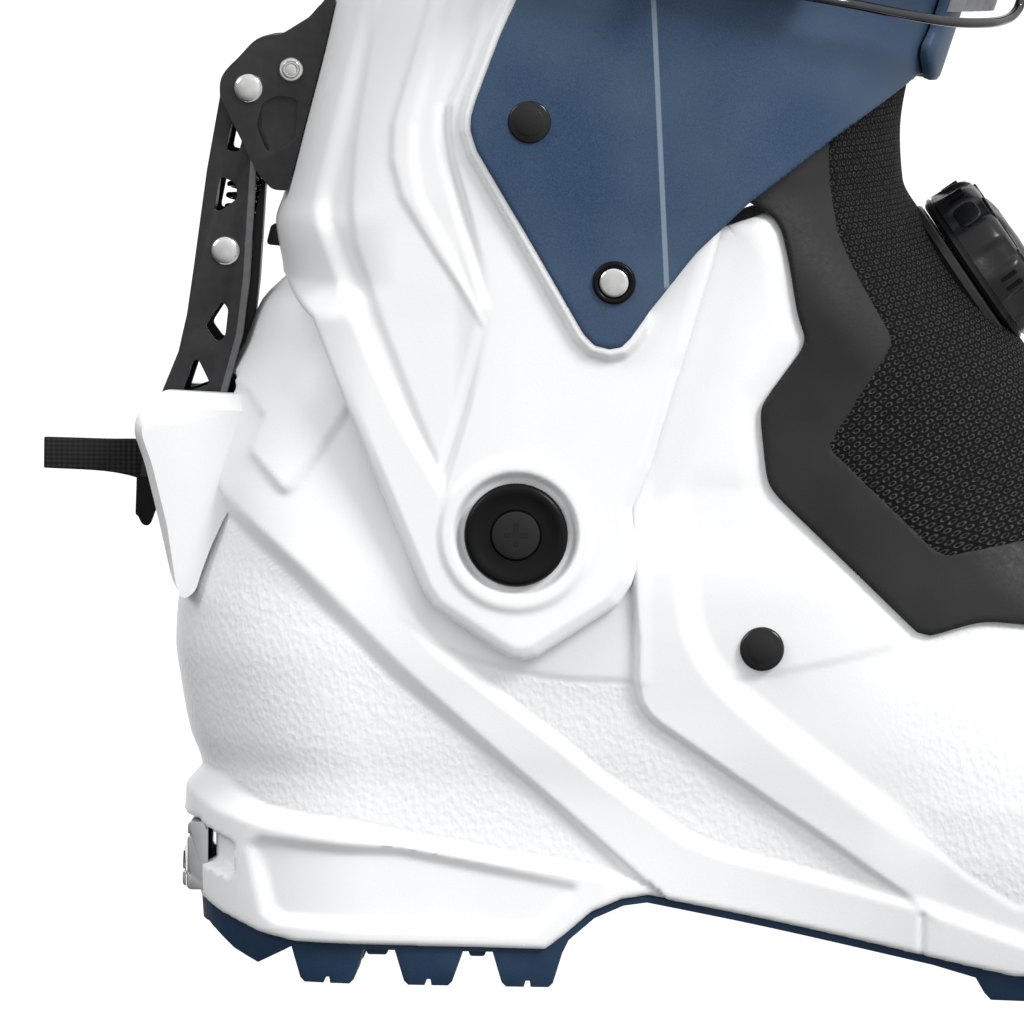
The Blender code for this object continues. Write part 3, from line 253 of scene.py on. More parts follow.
class Nodes:
    """Small helper that adds nodes to one material's tree."""

    def __init__(self, name):
        self.material = bpy.data.materials.new(name)
        self.material.use_nodes = True
        self.tree = self.material.node_tree
        self.shader = self.tree.nodes["Principled BSDF"]

    def set(self, **values):
        for key, value in values.items():
            self.shader.inputs[key.replace("_", " ")].default_value = value
        return self

    def add(self, kind, **inputs):
        node = self.tree.nodes.new("ShaderNode" + kind)
        for key, value in inputs.items():
            key = int(key[1:]) if key[0] == "i" and key[1:].isdigit() else key.replace("_", " ")
            if isinstance(value, bpy.types.NodeSocket):
                self.tree.links.new(value, node.inputs[key])
            else:
                node.inputs[key].default_value = value
        return node

    def math(self, operation, a, b=0.0, c=None):
        node = self.tree.nodes.new("ShaderNodeMath")
        node.operation = operation
        for i, value in enumerate((a, b) if c is None else (a, b, c)):
            if isinstance(value, bpy.types.NodeSocket):
                self.tree.links.new(value, node.inputs[i])
            else:
                node.inputs[i].default_value = value
        return node.outputs[0]

    def place(self):
        """Object coordinates in millimetres."""
        where = self.tree.nodes.new("ShaderNodeTexCoord")
        scaled = self.tree.nodes.new("ShaderNodeVectorMath")
        scaled.operation = "SCALE"
        scaled.inputs["Scale"].default_value = 1000.0
        self.tree.links.new(where.outputs["Object"], scaled.inputs[0])
        return scaled.outputs[0]

    def noise(self, scale, detail=3.0, vector=None):
        node = self.add("TexNoise", Vector=vector or self.place(), Scale=scale, Detail=detail)
        return node.outputs["Fac"]

    def spread(self, value, low, high, start=0.3, end=0.7):
        node = self.add("MapRange", Value=value, From_Min=start, From_Max=end, To_Min=low, To_Max=high)
        return node.outputs["Result"]

    def mix(self, factor, one, two):
        node = self.tree.nodes.new("ShaderNodeMix")
        node.data_type = "RGBA"
        for socket, value in ((node.inputs[0], factor), (node.inputs[6], one), (node.inputs[7], two)):
            if isinstance(value, bpy.types.NodeSocket):
                self.tree.links.new(value, socket)
            else:
                socket.default_value = value if isinstance(value, float) else (*value, 1.0)
        return node.outputs[2]

    def colour(self, value):
        self.tree.links.new(value, self.shader.inputs["Base Color"])
        return self

    def roughness(self, value):
        self.tree.links.new(value, self.shader.inputs["Roughness"])
        return self

    def bump(self, height, depth_mm, strength=1.0):
        node = self.add("Bump", Height=height)
        node.inputs["Distance"].default_value = depth_mm * MM
        if isinstance(strength, bpy.types.NodeSocket):
            self.tree.links.new(strength, node.inputs["Strength"])
        else:
            node.inputs["Strength"].default_value = strength
        self.tree.links.new(node.outputs[0], self.shader.inputs["Normal"])
        return self


def grain_height(m, pitch):
    """Leather-like cells, a little stretched along z."""
    stretch = m.add("Mapping", Vector=m.place(), Scale=(1.0, 1.0, 0.72))
    wobble = m.add("TexNoise", Vector=stretch.outputs[0], Scale=0.9, Detail=2.0)
    shift = m.tree.nodes.new("ShaderNodeVectorMath")
    shift.operation = "MULTIPLY_ADD"
    shift.inputs[1].default_value = (0.9, 0.9, 0.9)
    m.tree.links.new(wobble.outputs["Color"], shift.inputs[0])
    m.tree.links.new(stretch.outputs[0], shift.inputs[2])
    cells = m.tree.nodes.new("ShaderNodeTexVoronoi")
    cells.feature = "SMOOTH_F1"
    cells.inputs["Scale"].default_value = 1.0 / pitch
    cells.inputs["Smoothness"].default_value = 0.35
    m.tree.links.new(shift.outputs[0], cells.inputs["Vector"])
    return cells.outputs["Distance"]


def white_plastic():
    m = Nodes("white_plastic").set(Roughness=0.36, IOR=1.5, Coat_Weight=0.12, Coat_Roughness=0.2)
    tone = m.noise(0.035, 2.0)
    m.colour(m.mix(m.spread(tone, 0.0, 1.0), (0.845, 0.855, 0.87), (0.87, 0.878, 0.888)))
    m.roughness(m.spread(m.noise(0.5, 4.0), 0.33, 0.42))
    fine = m.math("MULTIPLY", m.noise(2.2, 3.0), 0.25)
    grain = m.add("Attribute")
    grain.attribute_name = "grain"
    cells = m.math("MULTIPLY", grain_height(m, 1.15), grain.outputs["Fac"])
    m.bump(m.math("ADD", fine, m.math("MULTIPLY", cells, 1.5)), 0.12, 0.8)
    return m.material


def blue_wing():
    m = Nodes("blue_wing").set(Roughness=0.5, Specular_IOR_Level=0.35)
    place = m.place()
    axes = m.add("SeparateXYZ", i0=place)
    x, z = axes.outputs[0], axes.outputs[2]
    haze = m.spread(m.noise(0.045, 1.5), 0.0, 1.0, 0.35, 0.68)
    speckle = m.noise(3.0, 4.0)
    base = m.mix(haze, (0.014, 0.043, 0.098), (0.038, 0.072, 0.125))
    base = m.mix(m.spread(speckle, 0.0, 0.4, 0.35, 0.75), base, (0.075, 0.12, 0.2))
    # Painted highlight: a thin lighter line along the wing's crease above z 146, where the crease catches the
    # light.
    slope = (47.6 - 44.2) / (146.1 - 203.7)
    line = m.math("SUBTRACT", m.math("SUBTRACT", x, 44.2), m.math("MULTIPLY", m.math("SUBTRACT", z, 203.7),
                                                                  slope))
    crease_highlight = m.spread(m.math("ABSOLUTE", line), 1.0, 0.0, 0.42, 0.6)
    low = m.spread(z, 0.0, 1.0, 145.0, 146.0)
    base = m.mix(m.math("MULTIPLY", m.math("MULTIPLY", crease_highlight, low), 0.6), base, (0.3, 0.36, 0.45))
    m.colour(base)
    m.roughness(m.spread(speckle, 0.42, 0.6))
    m.bump(speckle, 0.05, 0.5)
    return m.material


def rubber():
    m = Nodes("navy_rubber").set(IOR=1.45, Specular_IOR_Level=0.3)
    tone = m.noise(0.08, 3.0)
    m.colour(m.mix(m.spread(tone, 0.0, 1.0), (0.0085, 0.028, 0.066), (0.018, 0.044, 0.09)))
    m.roughness(m.spread(m.noise(0.8, 4.0), 0.5, 0.72))
    m.bump(m.noise(3.0, 4.0), 0.12, 0.6)
    return m.material


def film():
    m = Nodes("gaiter_film").set(Specular_IOR_Level=0.22)
    tone = m.noise(0.05, 2.0)
    m.colour(m.mix(m.spread(tone, 0.0, 1.0), (0.011, 0.011, 0.011), (0.02, 0.02, 0.02)))
    m.roughness(m.spread(m.noise(1.0, 4.0), 0.42, 0.56))
    m.bump(m.noise(2.5, 4.0), 0.05, 0.5)
    return m.material


def knit():
    """Rows of small loops in a brick pattern; the map is in millimetres along and across the rows."""
    m = Nodes("black_knit").set(Roughness=0.8, Specular_IOR_Level=0.12)
    where = m.tree.nodes.new("ShaderNodeUVMap")
    where.uv_map = "loops"
    wobble = m.add("TexNoise", Vector=where.outputs[0], Scale=0.7, Detail=2.0)
    axes = m.add("SeparateXYZ", i0=where.outputs[0])
    u = m.math("ADD", axes.outputs[0], m.math("MULTIPLY", wobble.outputs["Fac"], 0.5))
    v = m.math("DIVIDE", axes.outputs[1], 1.1)
    row = m.math("FLOOR", v)
    odd = m.math("MULTIPLY", m.math("MODULO", row, 2.0), 0.5)
    across = m.math("SUBTRACT", m.math("FRACT", m.math("ADD", m.math("DIVIDE", u, 1.5), odd)), 0.5)
    along = m.math("SUBTRACT", m.math("FRACT", v), 0.5)
    reach = m.math("SQRT", m.math("ADD", m.math("POWER", m.math("MULTIPLY", across, 1.15), 2.0),
                                  m.math("POWER", m.math("MULTIPLY", along, 1.0), 2.0)))
    ring = m.math("SUBTRACT", 1.0, m.math("MULTIPLY", m.math("ABSOLUTE", m.math("SUBTRACT", reach, 0.3)),
                                          6.0))
    ring = m.math("MAXIMUM", ring, 0.0)
    fleck = m.spread(m.noise(1.3, 2.0), 0.25, 1.0, 0.35, 0.62)
    # Painted sheen and shade: the black yarn is lighter along each loop's crown and near black in the gaps
    # between loops; fleck varies it at random.
    light = m.math("MULTIPLY", ring, fleck)
    m.colour(m.mix(light, (0.003, 0.003, 0.0035), (0.11, 0.111, 0.115)))
    m.bump(ring, 0.5, 1.0)
    return m.material


def plain(name, colour, low, high, bump=0.04, scale=1.5, **extra):
    m = Nodes(name).set(**extra)
    tone = m.noise(scale * 0.12, 3.0)
    darker = tuple(c * 0.8 for c in colour)
    m.colour(m.mix(m.spread(tone, 0.0, 1.0), darker, colour))
    m.roughness(m.spread(m.noise(scale, 4.0), low, high))
    m.bump(m.noise(scale * 1.6, 3.0), bump, 0.5)
    return m.material


def webbing(name, colour, pitch, direction):
    """Woven band: ribs across its length, with a fine thread along it."""
    m = Nodes(name).set(Specular_IOR_Level=0.2)
    axes = m.add("SeparateXYZ", i0=m.place())
    along = axes.outputs[direction]
    across = axes.outputs[2 if direction != 2 else 0]
    rib = m.math("SINE", m.math("MULTIPLY", along, 2 * math.pi / pitch))
    thread = m.math("SINE", m.math("MULTIPLY", across, 2 * math.pi / (pitch * 0.8)))
    height = m.math("ADD", rib, m.math("MULTIPLY", thread, 0.5))
    # Painted shade: colour follows the weave's height, half as bright in the grooves as on the crowns.
    tone = m.spread(height, 0.0, 1.0, -1.5, 1.5)
    m.colour(m.mix(tone, tuple(c * 0.5 for c in colour), colour))
    m.set(Roughness=0.8)
    m.bump(height, 0.12, 0.8)
    return m.material


def liner_fabric():
    m = Nodes("liner_fabric").set(Sheen_Weight=0.1, Roughness=0.85, Specular_IOR_Level=0.2)
    cells = m.tree.nodes.new("ShaderNodeTexVoronoi")
    cells.inputs["Scale"].default_value = 0.55
    m.tree.links.new(m.place(), cells.inputs["Vector"])
    m.colour(m.mix(cells.outputs["Distance"], (0.035, 0.036, 0.04), (0.012, 0.012, 0.014)))
    m.bump(cells.outputs["Distance"], 0.35, 0.8)
    return m.material


# ---------------------------------------------------------------- body surfaces

def ramp(value):
    value = np.clip(value, 0.0, 1.0)
    return value * value * (3 - 2 * value)


def row_at(rows, z):
    """Rows of a table at heights z, on a smooth curve through the rows that never overshoots."""
    z = np.clip(np.asarray(z, float), rows[0, 0], rows[-1, 0])
    steps = np.diff(rows[:, 0])
    slope = np.diff(rows, axis=0) / steps[:, None]
    tangent = np.zeros_like(rows)
    tangent[0], tangent[-1] = slope[0], slope[-1]
    before, after = slope[:-1], slope[1:]
    w1 = (2 * steps[1:] + steps[:-1])[:, None]
    w2 = (steps[1:] + 2 * steps[:-1])[:, None]
    same = before * after > 1e-12
    safe = np.where(same, before, 1.0), np.where(same, after, 1.0)
    tangent[1:-1] = np.where(same, (w1 + w2) / (w1 / safe[0] + w2 / safe[1]), 0.0)
    k = np.clip(np.searchsorted(rows[:, 0], z, side="right") - 1, 0, len(steps) - 1)
    t = ((z - rows[k, 0]) / steps[k])[:, None]
    h = steps[k][:, None]
    return ((2 * t ** 3 - 3 * t ** 2 + 1) * rows[k] + (t ** 3 - 2 * t ** 2 + t) * h * tangent[k]
            + (3 * t ** 2 - 2 * t ** 3) * rows[k + 1] + (t ** 3 - t ** 2) * h * tangent[k + 1])


def half_width(widths, x):
    """Half widths given at STATIONS, for each level (first axis) at positions x."""
    out = np.repeat(widths[:, :1], x.shape[1], axis=1)
    for i in range(len(STATIONS) - 1):
        t = ramp((x - STATIONS[i]) / (STATIONS[i + 1] - STATIONS[i]))
        out = out + t * (widths[:, i + 1] - widths[:, i])[:, None]
    return out


def toe_shift(x, z):
    return 6.0 * ramp((x - 120.0) / 90.0) * (1 - ramp((z - 60.0) / 40.0))


def surface(rows, levels, offset, lateral, medial=None):
    """Points of a closed body surface, levels x around; counts are (rear end, flank, front end)."""
    z = np.asarray(levels, float)
    row = row_at(rows, z - offset * ramp((z - 35.0) / 25.0))
    rear = row_at(rows, z)[:, 1] - offset
    front = row[:, 2] + offset
    rear_len, front_len, widths = row[:, 7], row[:, 8], row[:, 3:7]

    def side(counts, sign):
        a = math.pi / 2 * np.linspace(0, 1, counts[0] + 1)
        b = math.pi / 2 * np.linspace(1, 0, counts[2] + 1)
        t = np.linspace(0, 1, counts[1] + 1)[1:-1]
        first, last = rear + rear_len, front - front_len
        x = np.hstack((rear[:, None] + rear_len[:, None] * (1 - np.cos(a)),
                       first[:, None] + (last - first)[:, None] * t,
                       front[:, None] - front_len[:, None] * (1 - np.cos(b))))
        share = np.concatenate((np.sin(a), np.ones(len(t)), np.sin(b)))
        height = np.repeat(z[:, None], x.shape[1], axis=1)
        y = sign * share * (half_width(widths, x) + offset) + toe_shift(x, height)
        return np.dstack((x, y, height))

    one, two = side(lateral, -1.0), side(medial or lateral, 1.0)
    return np.concatenate((one, two[:, -2:0:-1]), axis=1)


def grid_normals(points):
    around = np.roll(points, -1, axis=1) - np.roll(points, 1, axis=1)
    up = np.gradient(points, axis=0)
    normal = np.cross(around, up)
    return normal / np.maximum(np.linalg.norm(normal, axis=2, keepdims=True), 1e-9)


# ---------------------------------------------------------------- side-view outlines

def spline(p, steps):
    """Smooth line through points, as arrays or vectors."""
    p = [2 * p[0] - p[1]] + p + [2 * p[-1] - p[-2]]
    out = []
    for a, b, c, d in zip(p, p[1:], p[2:], p[3:]):
        for i in range(steps):
            t = i / steps
            out.append(0.5 * (2 * b + (c - a) * t + (2 * a - 5 * b + 4 * c - d) * t ** 2
                              + (3 * b - a - 3 * c + d) * t ** 3))
    return out + [p[-2]]


def curve(points, steps=6):
    """Smooth side-view line through points."""
    return [tuple(q) for q in spline([np.array(q, float) for q in points], steps)]


def rounded(polygon, radius, steps=4):
    """Closed outline with each corner cut by an arc-like curve of about that radius."""
    out = []
    for i, corner in enumerate(polygon):
        here = np.array(corner, float)
        back = np.array(polygon[i - 1], float) - here
        on = np.array(polygon[(i + 1) % len(polygon)], float) - here
        reach_back = min(radius, np.linalg.norm(back) * 0.45)
        reach_on = min(radius, np.linalg.norm(on) * 0.45)
        start = here + back / np.linalg.norm(back) * reach_back
        end = here + on / np.linalg.norm(on) * reach_on
        for k in range(steps + 1):
            t = k / steps
            out.append(tuple((1 - t) ** 2 * start + 2 * t * (1 - t) * here + t * t * end))
    return out


def from_line(x, z, path):
    """Signed distance to an open line: positive on its left."""
    best = np.full(x.shape, 1e18)
    sign = np.ones(x.shape)
    for (ax, az), (bx, bz) in zip(path, path[1:]):
        dx, dz = bx - ax, bz - az
        t = np.clip(((x - ax) * dx + (z - az) * dz) / max(dx * dx + dz * dz, 1e-9), 0, 1)
        d = (x - ax - t * dx) ** 2 + (z - az - t * dz) ** 2
        closer = d < best
        best = np.where(closer, d, best)
        sign = np.where(closer, np.sign(dx * (z - az) - dz * (x - ax)), sign)
    return np.where(sign == 0, 1.0, sign) * np.sqrt(best)


def in_area(x, z, polygon):
    """Signed distance to a closed outline: positive inside."""
    closed = list(polygon) + [polygon[0]]
    distance = np.abs(from_line(x, z, closed))
    inside = np.zeros(x.shape, bool)
    for (ax, az), (bx, bz) in zip(closed, closed[1:]):
        if az == bz:
            continue
        crosses = (az > z) != (bz > z)
        inside ^= crosses & (x < (bx - ax) * (z - az) / (bz - az) + ax)
    return np.where(inside, distance, -distance)


# ---------------------------------------------------------------- mesh building

def add_mesh(name, mesh, body, material):
    mesh.name = name
    piece = bpy.data.objects.new(name, mesh)
    bpy.context.scene.collection.objects.link(piece)
    if material:
        mesh.materials.append(material)
    if body:
        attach(piece, body)
    return piece


def smooth(mesh, angle=38.0):
    mesh.shade_smooth()
    mesh.set_sharp_from_angle(angle=math.radians(angle))
    return mesh


def skin(points, keep, height, wall, extra=None):
    """Solid skin: the part of a surface where keep > 0, raised by height, with a wall inward.

    keep(x, y, z) and height(x, y, z, edge) work on arrays; edge is the distance to the cut edge.
    The cut runs exactly along keep = 0. extra(x, y, z) gives the leather grain's strength.
    """
    levels, around = points.shape[:2]
    normals = grid_normals(points).reshape(-1, 3)
    flat = points.reshape(-1, 3)
    edge = keep(flat[:, 0], flat[:, 1], flat[:, 2])
    edge = np.where(np.abs(edge) < 0.03, 0.03, edge)
    index = np.arange(levels * around).reshape(levels, around)
    corners = np.stack((index[:-1], np.roll(index[:-1], -1, 1), np.roll(index[1:], -1, 1), index[1:]), 2)
    corners = corners.reshape(-1, 4)
    inside = edge[corners] > 0
    count = inside.sum(1)
    faces = [tuple(f) for f in corners[count == 4].tolist()]
    born, parents, shares = {}, [], []

    def between(a, b):
        key = (min(a, b), max(a, b))
        if key not in born:
            t = edge[key[0]] / (edge[key[0]] - edge[key[1]])
            born[key] = len(flat) + len(parents)
            parents.append(key)
            shares.append(t)
        return born[key]

    for quad in corners[(count > 0) & (count < 4)].tolist():
        loop = []
        for a, b in zip(quad, quad[1:] + quad[:1]):
            if edge[a] > 0:
                loop.append(a)
            if (edge[a] > 0) != (edge[b] > 0):
                loop.append(between(a, b))
        if len(loop) > 2:
            faces.append(tuple(loop))
    if parents:
        pair, t = np.array(parents), np.array(shares)[:, None]
        flat = np.vstack((flat, flat[pair[:, 0]] * (1 - t) + flat[pair[:, 1]] * t))
        normals = np.vstack((normals, normals[pair[:, 0]] * (1 - t) + normals[pair[:, 1]] * t))
        edge = np.concatenate((edge, np.zeros(len(pair))))
    used = np.unique(np.concatenate([np.array(f) for f in faces]))
    renumber = np.full(len(flat), -1)
    renumber[used] = np.arange(len(used))
    flat, normals, edge = flat[used], normals[used], edge[used]
    faces = [tuple(renumber[list(f)].tolist()) for f in faces]
    lift = height(flat[:, 0], flat[:, 1], flat[:, 2], edge)
    outer = flat + normals * lift[:, None]
    inner = flat - normals * wall
    n = len(flat)
    directed = set()
    for f in faces:
        directed.update(zip(f, f[1:] + f[:1]))
    rim = [(b, a, a + n, b + n) for a, b in directed if (b, a) not in directed]
    solid = faces + [tuple(v + n for v in reversed(f)) for f in faces] + sorted(rim)
    mesh = bpy.data.meshes.new("skin")
    mesh.from_pydata((np.vstack((outer, inner)) * MM).tolist(), [], solid)
    if extra is not None:
        values = extra(flat[:, 0], flat[:, 1], flat[:, 2])
        layer = mesh.attributes.new("grain", "FLOAT", "POINT")
        layer.data.foreach_set("value", np.concatenate((values, np.zeros(n))).astype(np.float32))
    mesh.validate()
    return smooth(mesh, 62.0), flat


def round_edge(edge, radius):
    """Fall of a surface next to its edge, for a rounded rim."""
    t = np.clip(1 - edge / radius, 0, 1)
    return -radius * (1 - np.sqrt(1 - t * t))


def spans(*stops):
    """Levels or positions from (start, step) pairs and a last value."""
    out = []
    for (start, step), following in zip(stops, stops[1:]):
        end = following[0] if isinstance(following, tuple) else following
        out += list(np.linspace(start, end, max(1, round((end - start) / step)), endpoint=False))
    return np.array(out + [float(stops[-1])])


# ---------------------------------------------------------------- lower shell

RIB_CREST = curve(((-60.0, 124.0), (-49.0, 110.6), (-40.6, 99.4), (-23.9, 84.4), (-15.6, 76.5),
                   (-3.1, 64.9), (20.0, 44.6), (44.7, 22.9)))
RIB_FOOT = ((-70.0, 122.0), (-43.5, 96.1), (-38.2, 91.9), (-28.2, 84.0), (-8.2, 64.4), (20.0, 42.6),
            (45.5, 19.8))
PANEL_BEVEL = ((-6.0, 76.0), (1.2, 69.2), (26.9, 50.0), (34.5, 43.7), (52.7, 30.7), (61.0, 27.6),
               (102.9, 18.4), (130.0, 10.0))
PANEL_TOP = curve(((-8.0, 77.5), (-3.5, 74.7), (0.7, 71.5), (9.2, 68.0), (19.4, 65.9), (27.3, 64.7),
                   (41.2, 64.3)))
FRAME_WALL = ((41.0, 104.0), (41.6, 82.9), (42.2, 74.1), (42.3, 64.1), (43.2, 60.2), (44.9, 57.6),
              (47.1, 55.6), (73.1, 38.2), (96.9, 22.7), (103.2, 18.6), (112.0, 11.0))
FRAME_FACE = curve(((49.1, 108.0), (49.1, 91.2), (49.9, 78.4), (52.7, 70.2), (57.7, 63.1),
                    (67.6, 54.2), (82.4, 43.1), (95.2, 34.3), (121.0, 17.2), (135.0, 10.0)), 4)
VAMP_LOWER = ((60.3, 65.5), (63.7, 61.6), (89.6, 42.3), (110.1, 26.0), (121.0, 19.5), (145.0, 20.0),
              (175.0, 27.0), (198.0, 33.0), (230.0, 34.0))
VAMP_UPPER = ((230.0, 78.0), (140.0, 77.0), (119.0, 79.5), (100.4, 74.1), (83.1, 69.6), (68.7, 66.7),
              (60.3, 65.5))
HEEL_PANEL_EDGE = ((-60.0, 42.3), (-48.5, 42.2), (-45.0, 41.9), (-42.4, 41.2), (-39.8, 39.0),
                   (-33.9, 36.3), (-25.7, 34.9), (-16.3, 33.7), (-6.9, 31.8), (34.5, 24.9), (44.7, 22.9),
                   (70.0, 17.0))
LEDGE_RIM = ((-60.0, 39.0), (-52.6, 39.0), (-49.8, 38.6), (-48.6, 37.8), (-42.7, 34.5), (-33.9, 32.4),
             (-24.5, 31.2), (-10.0, 29.6), (34.5, 23.2), (44.7, 21.6), (70.0, 16.0))
POCKET = ((-36.3, 28.4), (-34.2, 30.3), (-29.2, 30.1), (-16.3, 29.2), (-5.7, 29.1), (29.4, 22.4),
          (31.0, 21.3), (30.2, 19.4), (22.4, 11.4), (-16.3, 11.8), (-30.4, 12.4), (-33.3, 14.6))
SIDE_NOTCH = ((-60.0, 33.6), (-45.7, 31.0), (-39.8, 28.4), (-39.2, 27.8), (-39.2, 22.0), (-39.8, 21.5),
              (-45.7, 23.5), (-60.0, 18.0))
PLATE = ((-46.0, 148.0), (-43.0, 123.0), (-37.3, 120.4), (-33.9, 116.1), (-36.2, 110.2), (-36.2, 108.6),
         (-30.2, 101.9), (-28.8, 101.2), (-27.6, 102.2), (-17.8, 117.8), (-8.0, 134.0), (-2.0, 148.0))


def shell_height(x, y, z, edge):
    crest = -from_line(x, z, RIB_CREST)
    above = -crest
    foot = np.abs(from_line(x, z, RIB_FOOT))
    face = np.where(above > 0, 1.0, foot / np.maximum(foot + np.abs(above), 1e-6))
    below_foot = from_line(x, z, RIB_FOOT) < 0
    face = np.where((above <= 0) & below_foot, 0.0, face)
    rib = (2.2 + 1.2 * ramp((-14.0 - x) / 16.0)) * face
    rib *= 1 - 0.5 * ramp(above / 24.0) * ramp((24.0 - x) / 20.0)

    panel = np.clip(from_line(x, z, PANEL_BEVEL) / 2.3, 0.0, 1.0)
    lift = rib - 1.35 * panel * ramp((x + 6.0) / 8.0)
    step_top = from_line(x, z, PANEL_TOP)
    lift += 0.4 * np.clip(step_top / 0.8, 0, 1) * ramp((46.0 - x) / 4.0) * ramp((x + 8.0) / 8.0)

    wall = from_line(x, z, FRAME_WALL)
    frame_lift = 2.3 * np.clip(0.5 + wall / 1.4, 0, 1) * (1 - ramp((z - 86.0) / 18.0))
    far = from_line(x, z, FRAME_FACE)
    frame_lift -= 1.9 * ramp(far / 6.5) * (1 - ramp((z - 90.0) / 20.0))
    frame_lift *= ramp((x - 36.0) / 6.0)
    fade = ramp((x - 90.0) / 18.0)
    frame_lift = frame_lift * (1 - fade) + 0.5 * fade
    lift += np.maximum(frame_lift, -0.4)

    vamp = np.minimum(from_line(x, z, VAMP_LOWER), from_line(x, z, VAMP_UPPER))
    lift -= 0.35 * np.clip(vamp / 0.9, 0, 1) * ramp((x - 59.0) / 4.0)
    lift *= 1 - 0.92 * ramp((in_area(x, z, GAITER_EDGE) + 6.0) / 6.0)
    toe = ramp((x - 118.0) / 40.0)
    lift += toe * (1.0 - np.minimum(lift, 1.0)) * 0.6 * (vamp < 0)

    below = from_line(x, z, HEEL_PANEL_EDGE)
    rim = from_line(x, z, LEDGE_RIM)
    slope = np.abs(below) / np.maximum(np.abs(below) + np.abs(rim), 1e-6)
    ledge = np.where(below > 0, 0.0, np.where(rim < 0, 1.0, slope))
    amount = np.interp(x, (-47.0, -25.0, 10.0, 36.0, 60.0), (3.3, 2.5, 1.7, 1.9, 0.0))
    lift = np.maximum(lift, ledge * amount)

    inside = in_area(x, z, POCKET)
    lift -= 1.9 * ramp((inside + 0.4) / 2.6) * (1 - 0.45 * ramp(x / 34.0))
    lift -= 3.4 * np.clip((in_area(x, z, SIDE_NOTCH) + 0.3) / 0.9, 0, 1) * (x < -36.0)
    lift += np.clip(in_area(x, z, PLATE) + 0.4, 0, 1)
    lift -= 0.5 * np.exp(-((x - 102.3) / 0.6) ** 2) * (z < 18.4)
    return lift + round_edge(edge, 1.1)


def shell_grain(x, y, z):
    """Grained panels: heel, middle of the side, and vamp."""
    heel = (from_line(x, z, RIB_FOOT) < -1.2) & (from_line(x, z, RIB_CREST) < -1.0)
    heel &= from_line(x, z, HEEL_PANEL_EDGE) > 1.0
    heel &= in_area(x, z, ((-66.0, 130.0), (-43.7, 96.1), (-47.5, 86.0), (-49.8, 79.6), (-80.0, 70.0))) < 0
    middle = (from_line(x, z, PANEL_BEVEL) > 2.8) & (from_line(x, z, PANEL_TOP) < -0.8)
    middle &= from_line(x, z, FRAME_WALL) < -1.2
    vamp = np.minimum(from_line(x, z, VAMP_LOWER), from_line(x, z, VAMP_UPPER)) > 1.4
    vamp_share = ramp((x - 84.0) / 26.0) * vamp
    return np.where(heel | middle, 1.0, vamp_share)


# Openings to the rear: half width, bottom, top, front x
LEVER_SLOT = (13.0, 83.5, 123.3, -40.0)
INSERT_SEAT = (18.4, 17.0, 32.0, -46.0)
SLOT_ARC_R = 65.8


def outside(x, y, z, half, low, high, front):
    """Distance outside a box that is open to the rear."""
    return -np.minimum(np.minimum(half - np.abs(y), np.minimum(z - low, high - z)), front - x)


def lower_shell(white):
    levels = spans((2.0, 0.72), (128.0, 1.3), 166.0)
    points = surface(LOWER_ROWS, levels, 0.0, (64, 320, 26), (26, 64, 24))
    top = [(x + 6.5 * (130.0 < z < 164.0 and x > 60.0), z) for x, z in SHELL_TOP]
    edge = list(SOLE_LINE) + [(240.0, 30.0)] + top + [(-80.0, 17.2)]
    slot_arc = [(PIVOT[0] - SLOT_ARC_R * math.cos(a), PIVOT[1] + SLOT_ARC_R * math.sin(a))
                for a in np.linspace(math.radians(-9.6), math.radians(26.0), 8)]

    def keep(x, y, z):
        kept = in_area(x, z, edge)
        kept = np.minimum(kept, outside(x, y, z, *LEVER_SLOT))
        return np.minimum(kept, outside(x, y, z, *INSERT_SEAT))

    mesh, _ = skin(points, keep, shell_height, SHELL_WALL, shell_grain)
    shell = add_mesh("lower_shell_moulding", mesh, "lower", white)
    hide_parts("lower_shell")
    slot_wall(white, slot_arc)
    cradle(white)
    return shell


def ring_solid(name, rings, bevel=0.0, prism=False):
    """Fresh object through rings of points in metres, with a face at both ends; it rides nowhere yet.

    A prism has its ends made first and its sides wound the other way.
    """
    bm = bmesh.new()
    rings = [[bm.verts.new(point) for point in ring] for ring in rings]
    sides = []
    for low, high in zip(rings, rings[1:]):
        for i in range(len(low)):
            j = (i + 1) % len(low)
            sides.append((low[j], low[i], high[i], high[j]) if prism else (low[i], low[j], high[j], high[i]))
    if prism:
        faces = [rings[0], rings[-1][::-1]] + sides
    else:
        faces = sides + [rings[0][::-1], rings[-1]]
    for face in faces:
        bm.faces.new(face)
    bmesh.ops.recalc_face_normals(bm, faces=bm.faces)
    mesh = bpy.data.meshes.new(name)
    bm.to_mesh(mesh)
    bm.free()
    piece = bpy.data.objects.new(name, mesh)
    bpy.context.scene.collection.objects.link(piece)
    if bevel:
        bevelled(piece, bevel)
    return piece


def solid_prism(name, outline, low, high, bevel=0.0):
    """Side-view outline extruded along Y."""
    rings = [[(x * MM, y * MM, z * MM) for x, z in outline] for y in (low, high)]
    return ring_solid(name, rings, bevel, prism=True)


def apply_modifiers(piece):
    graph = bpy.context.evaluated_depsgraph_get()
    mesh = bpy.data.meshes.new_from_object(piece.evaluated_get(graph))
    piece.modifiers.clear()
    old, piece.data = piece.data, mesh
    bpy.data.meshes.remove(old)
    return piece


def bevelled(piece, width, segments=3, angle=32.0):
    edges = piece.modifiers.new("bevel", "BEVEL")
    edges.width = width * MM
    edges.segments = segments
    edges.limit_method = "ANGLE"
    edges.angle_limit = math.radians(angle)
    return apply_modifiers(piece)


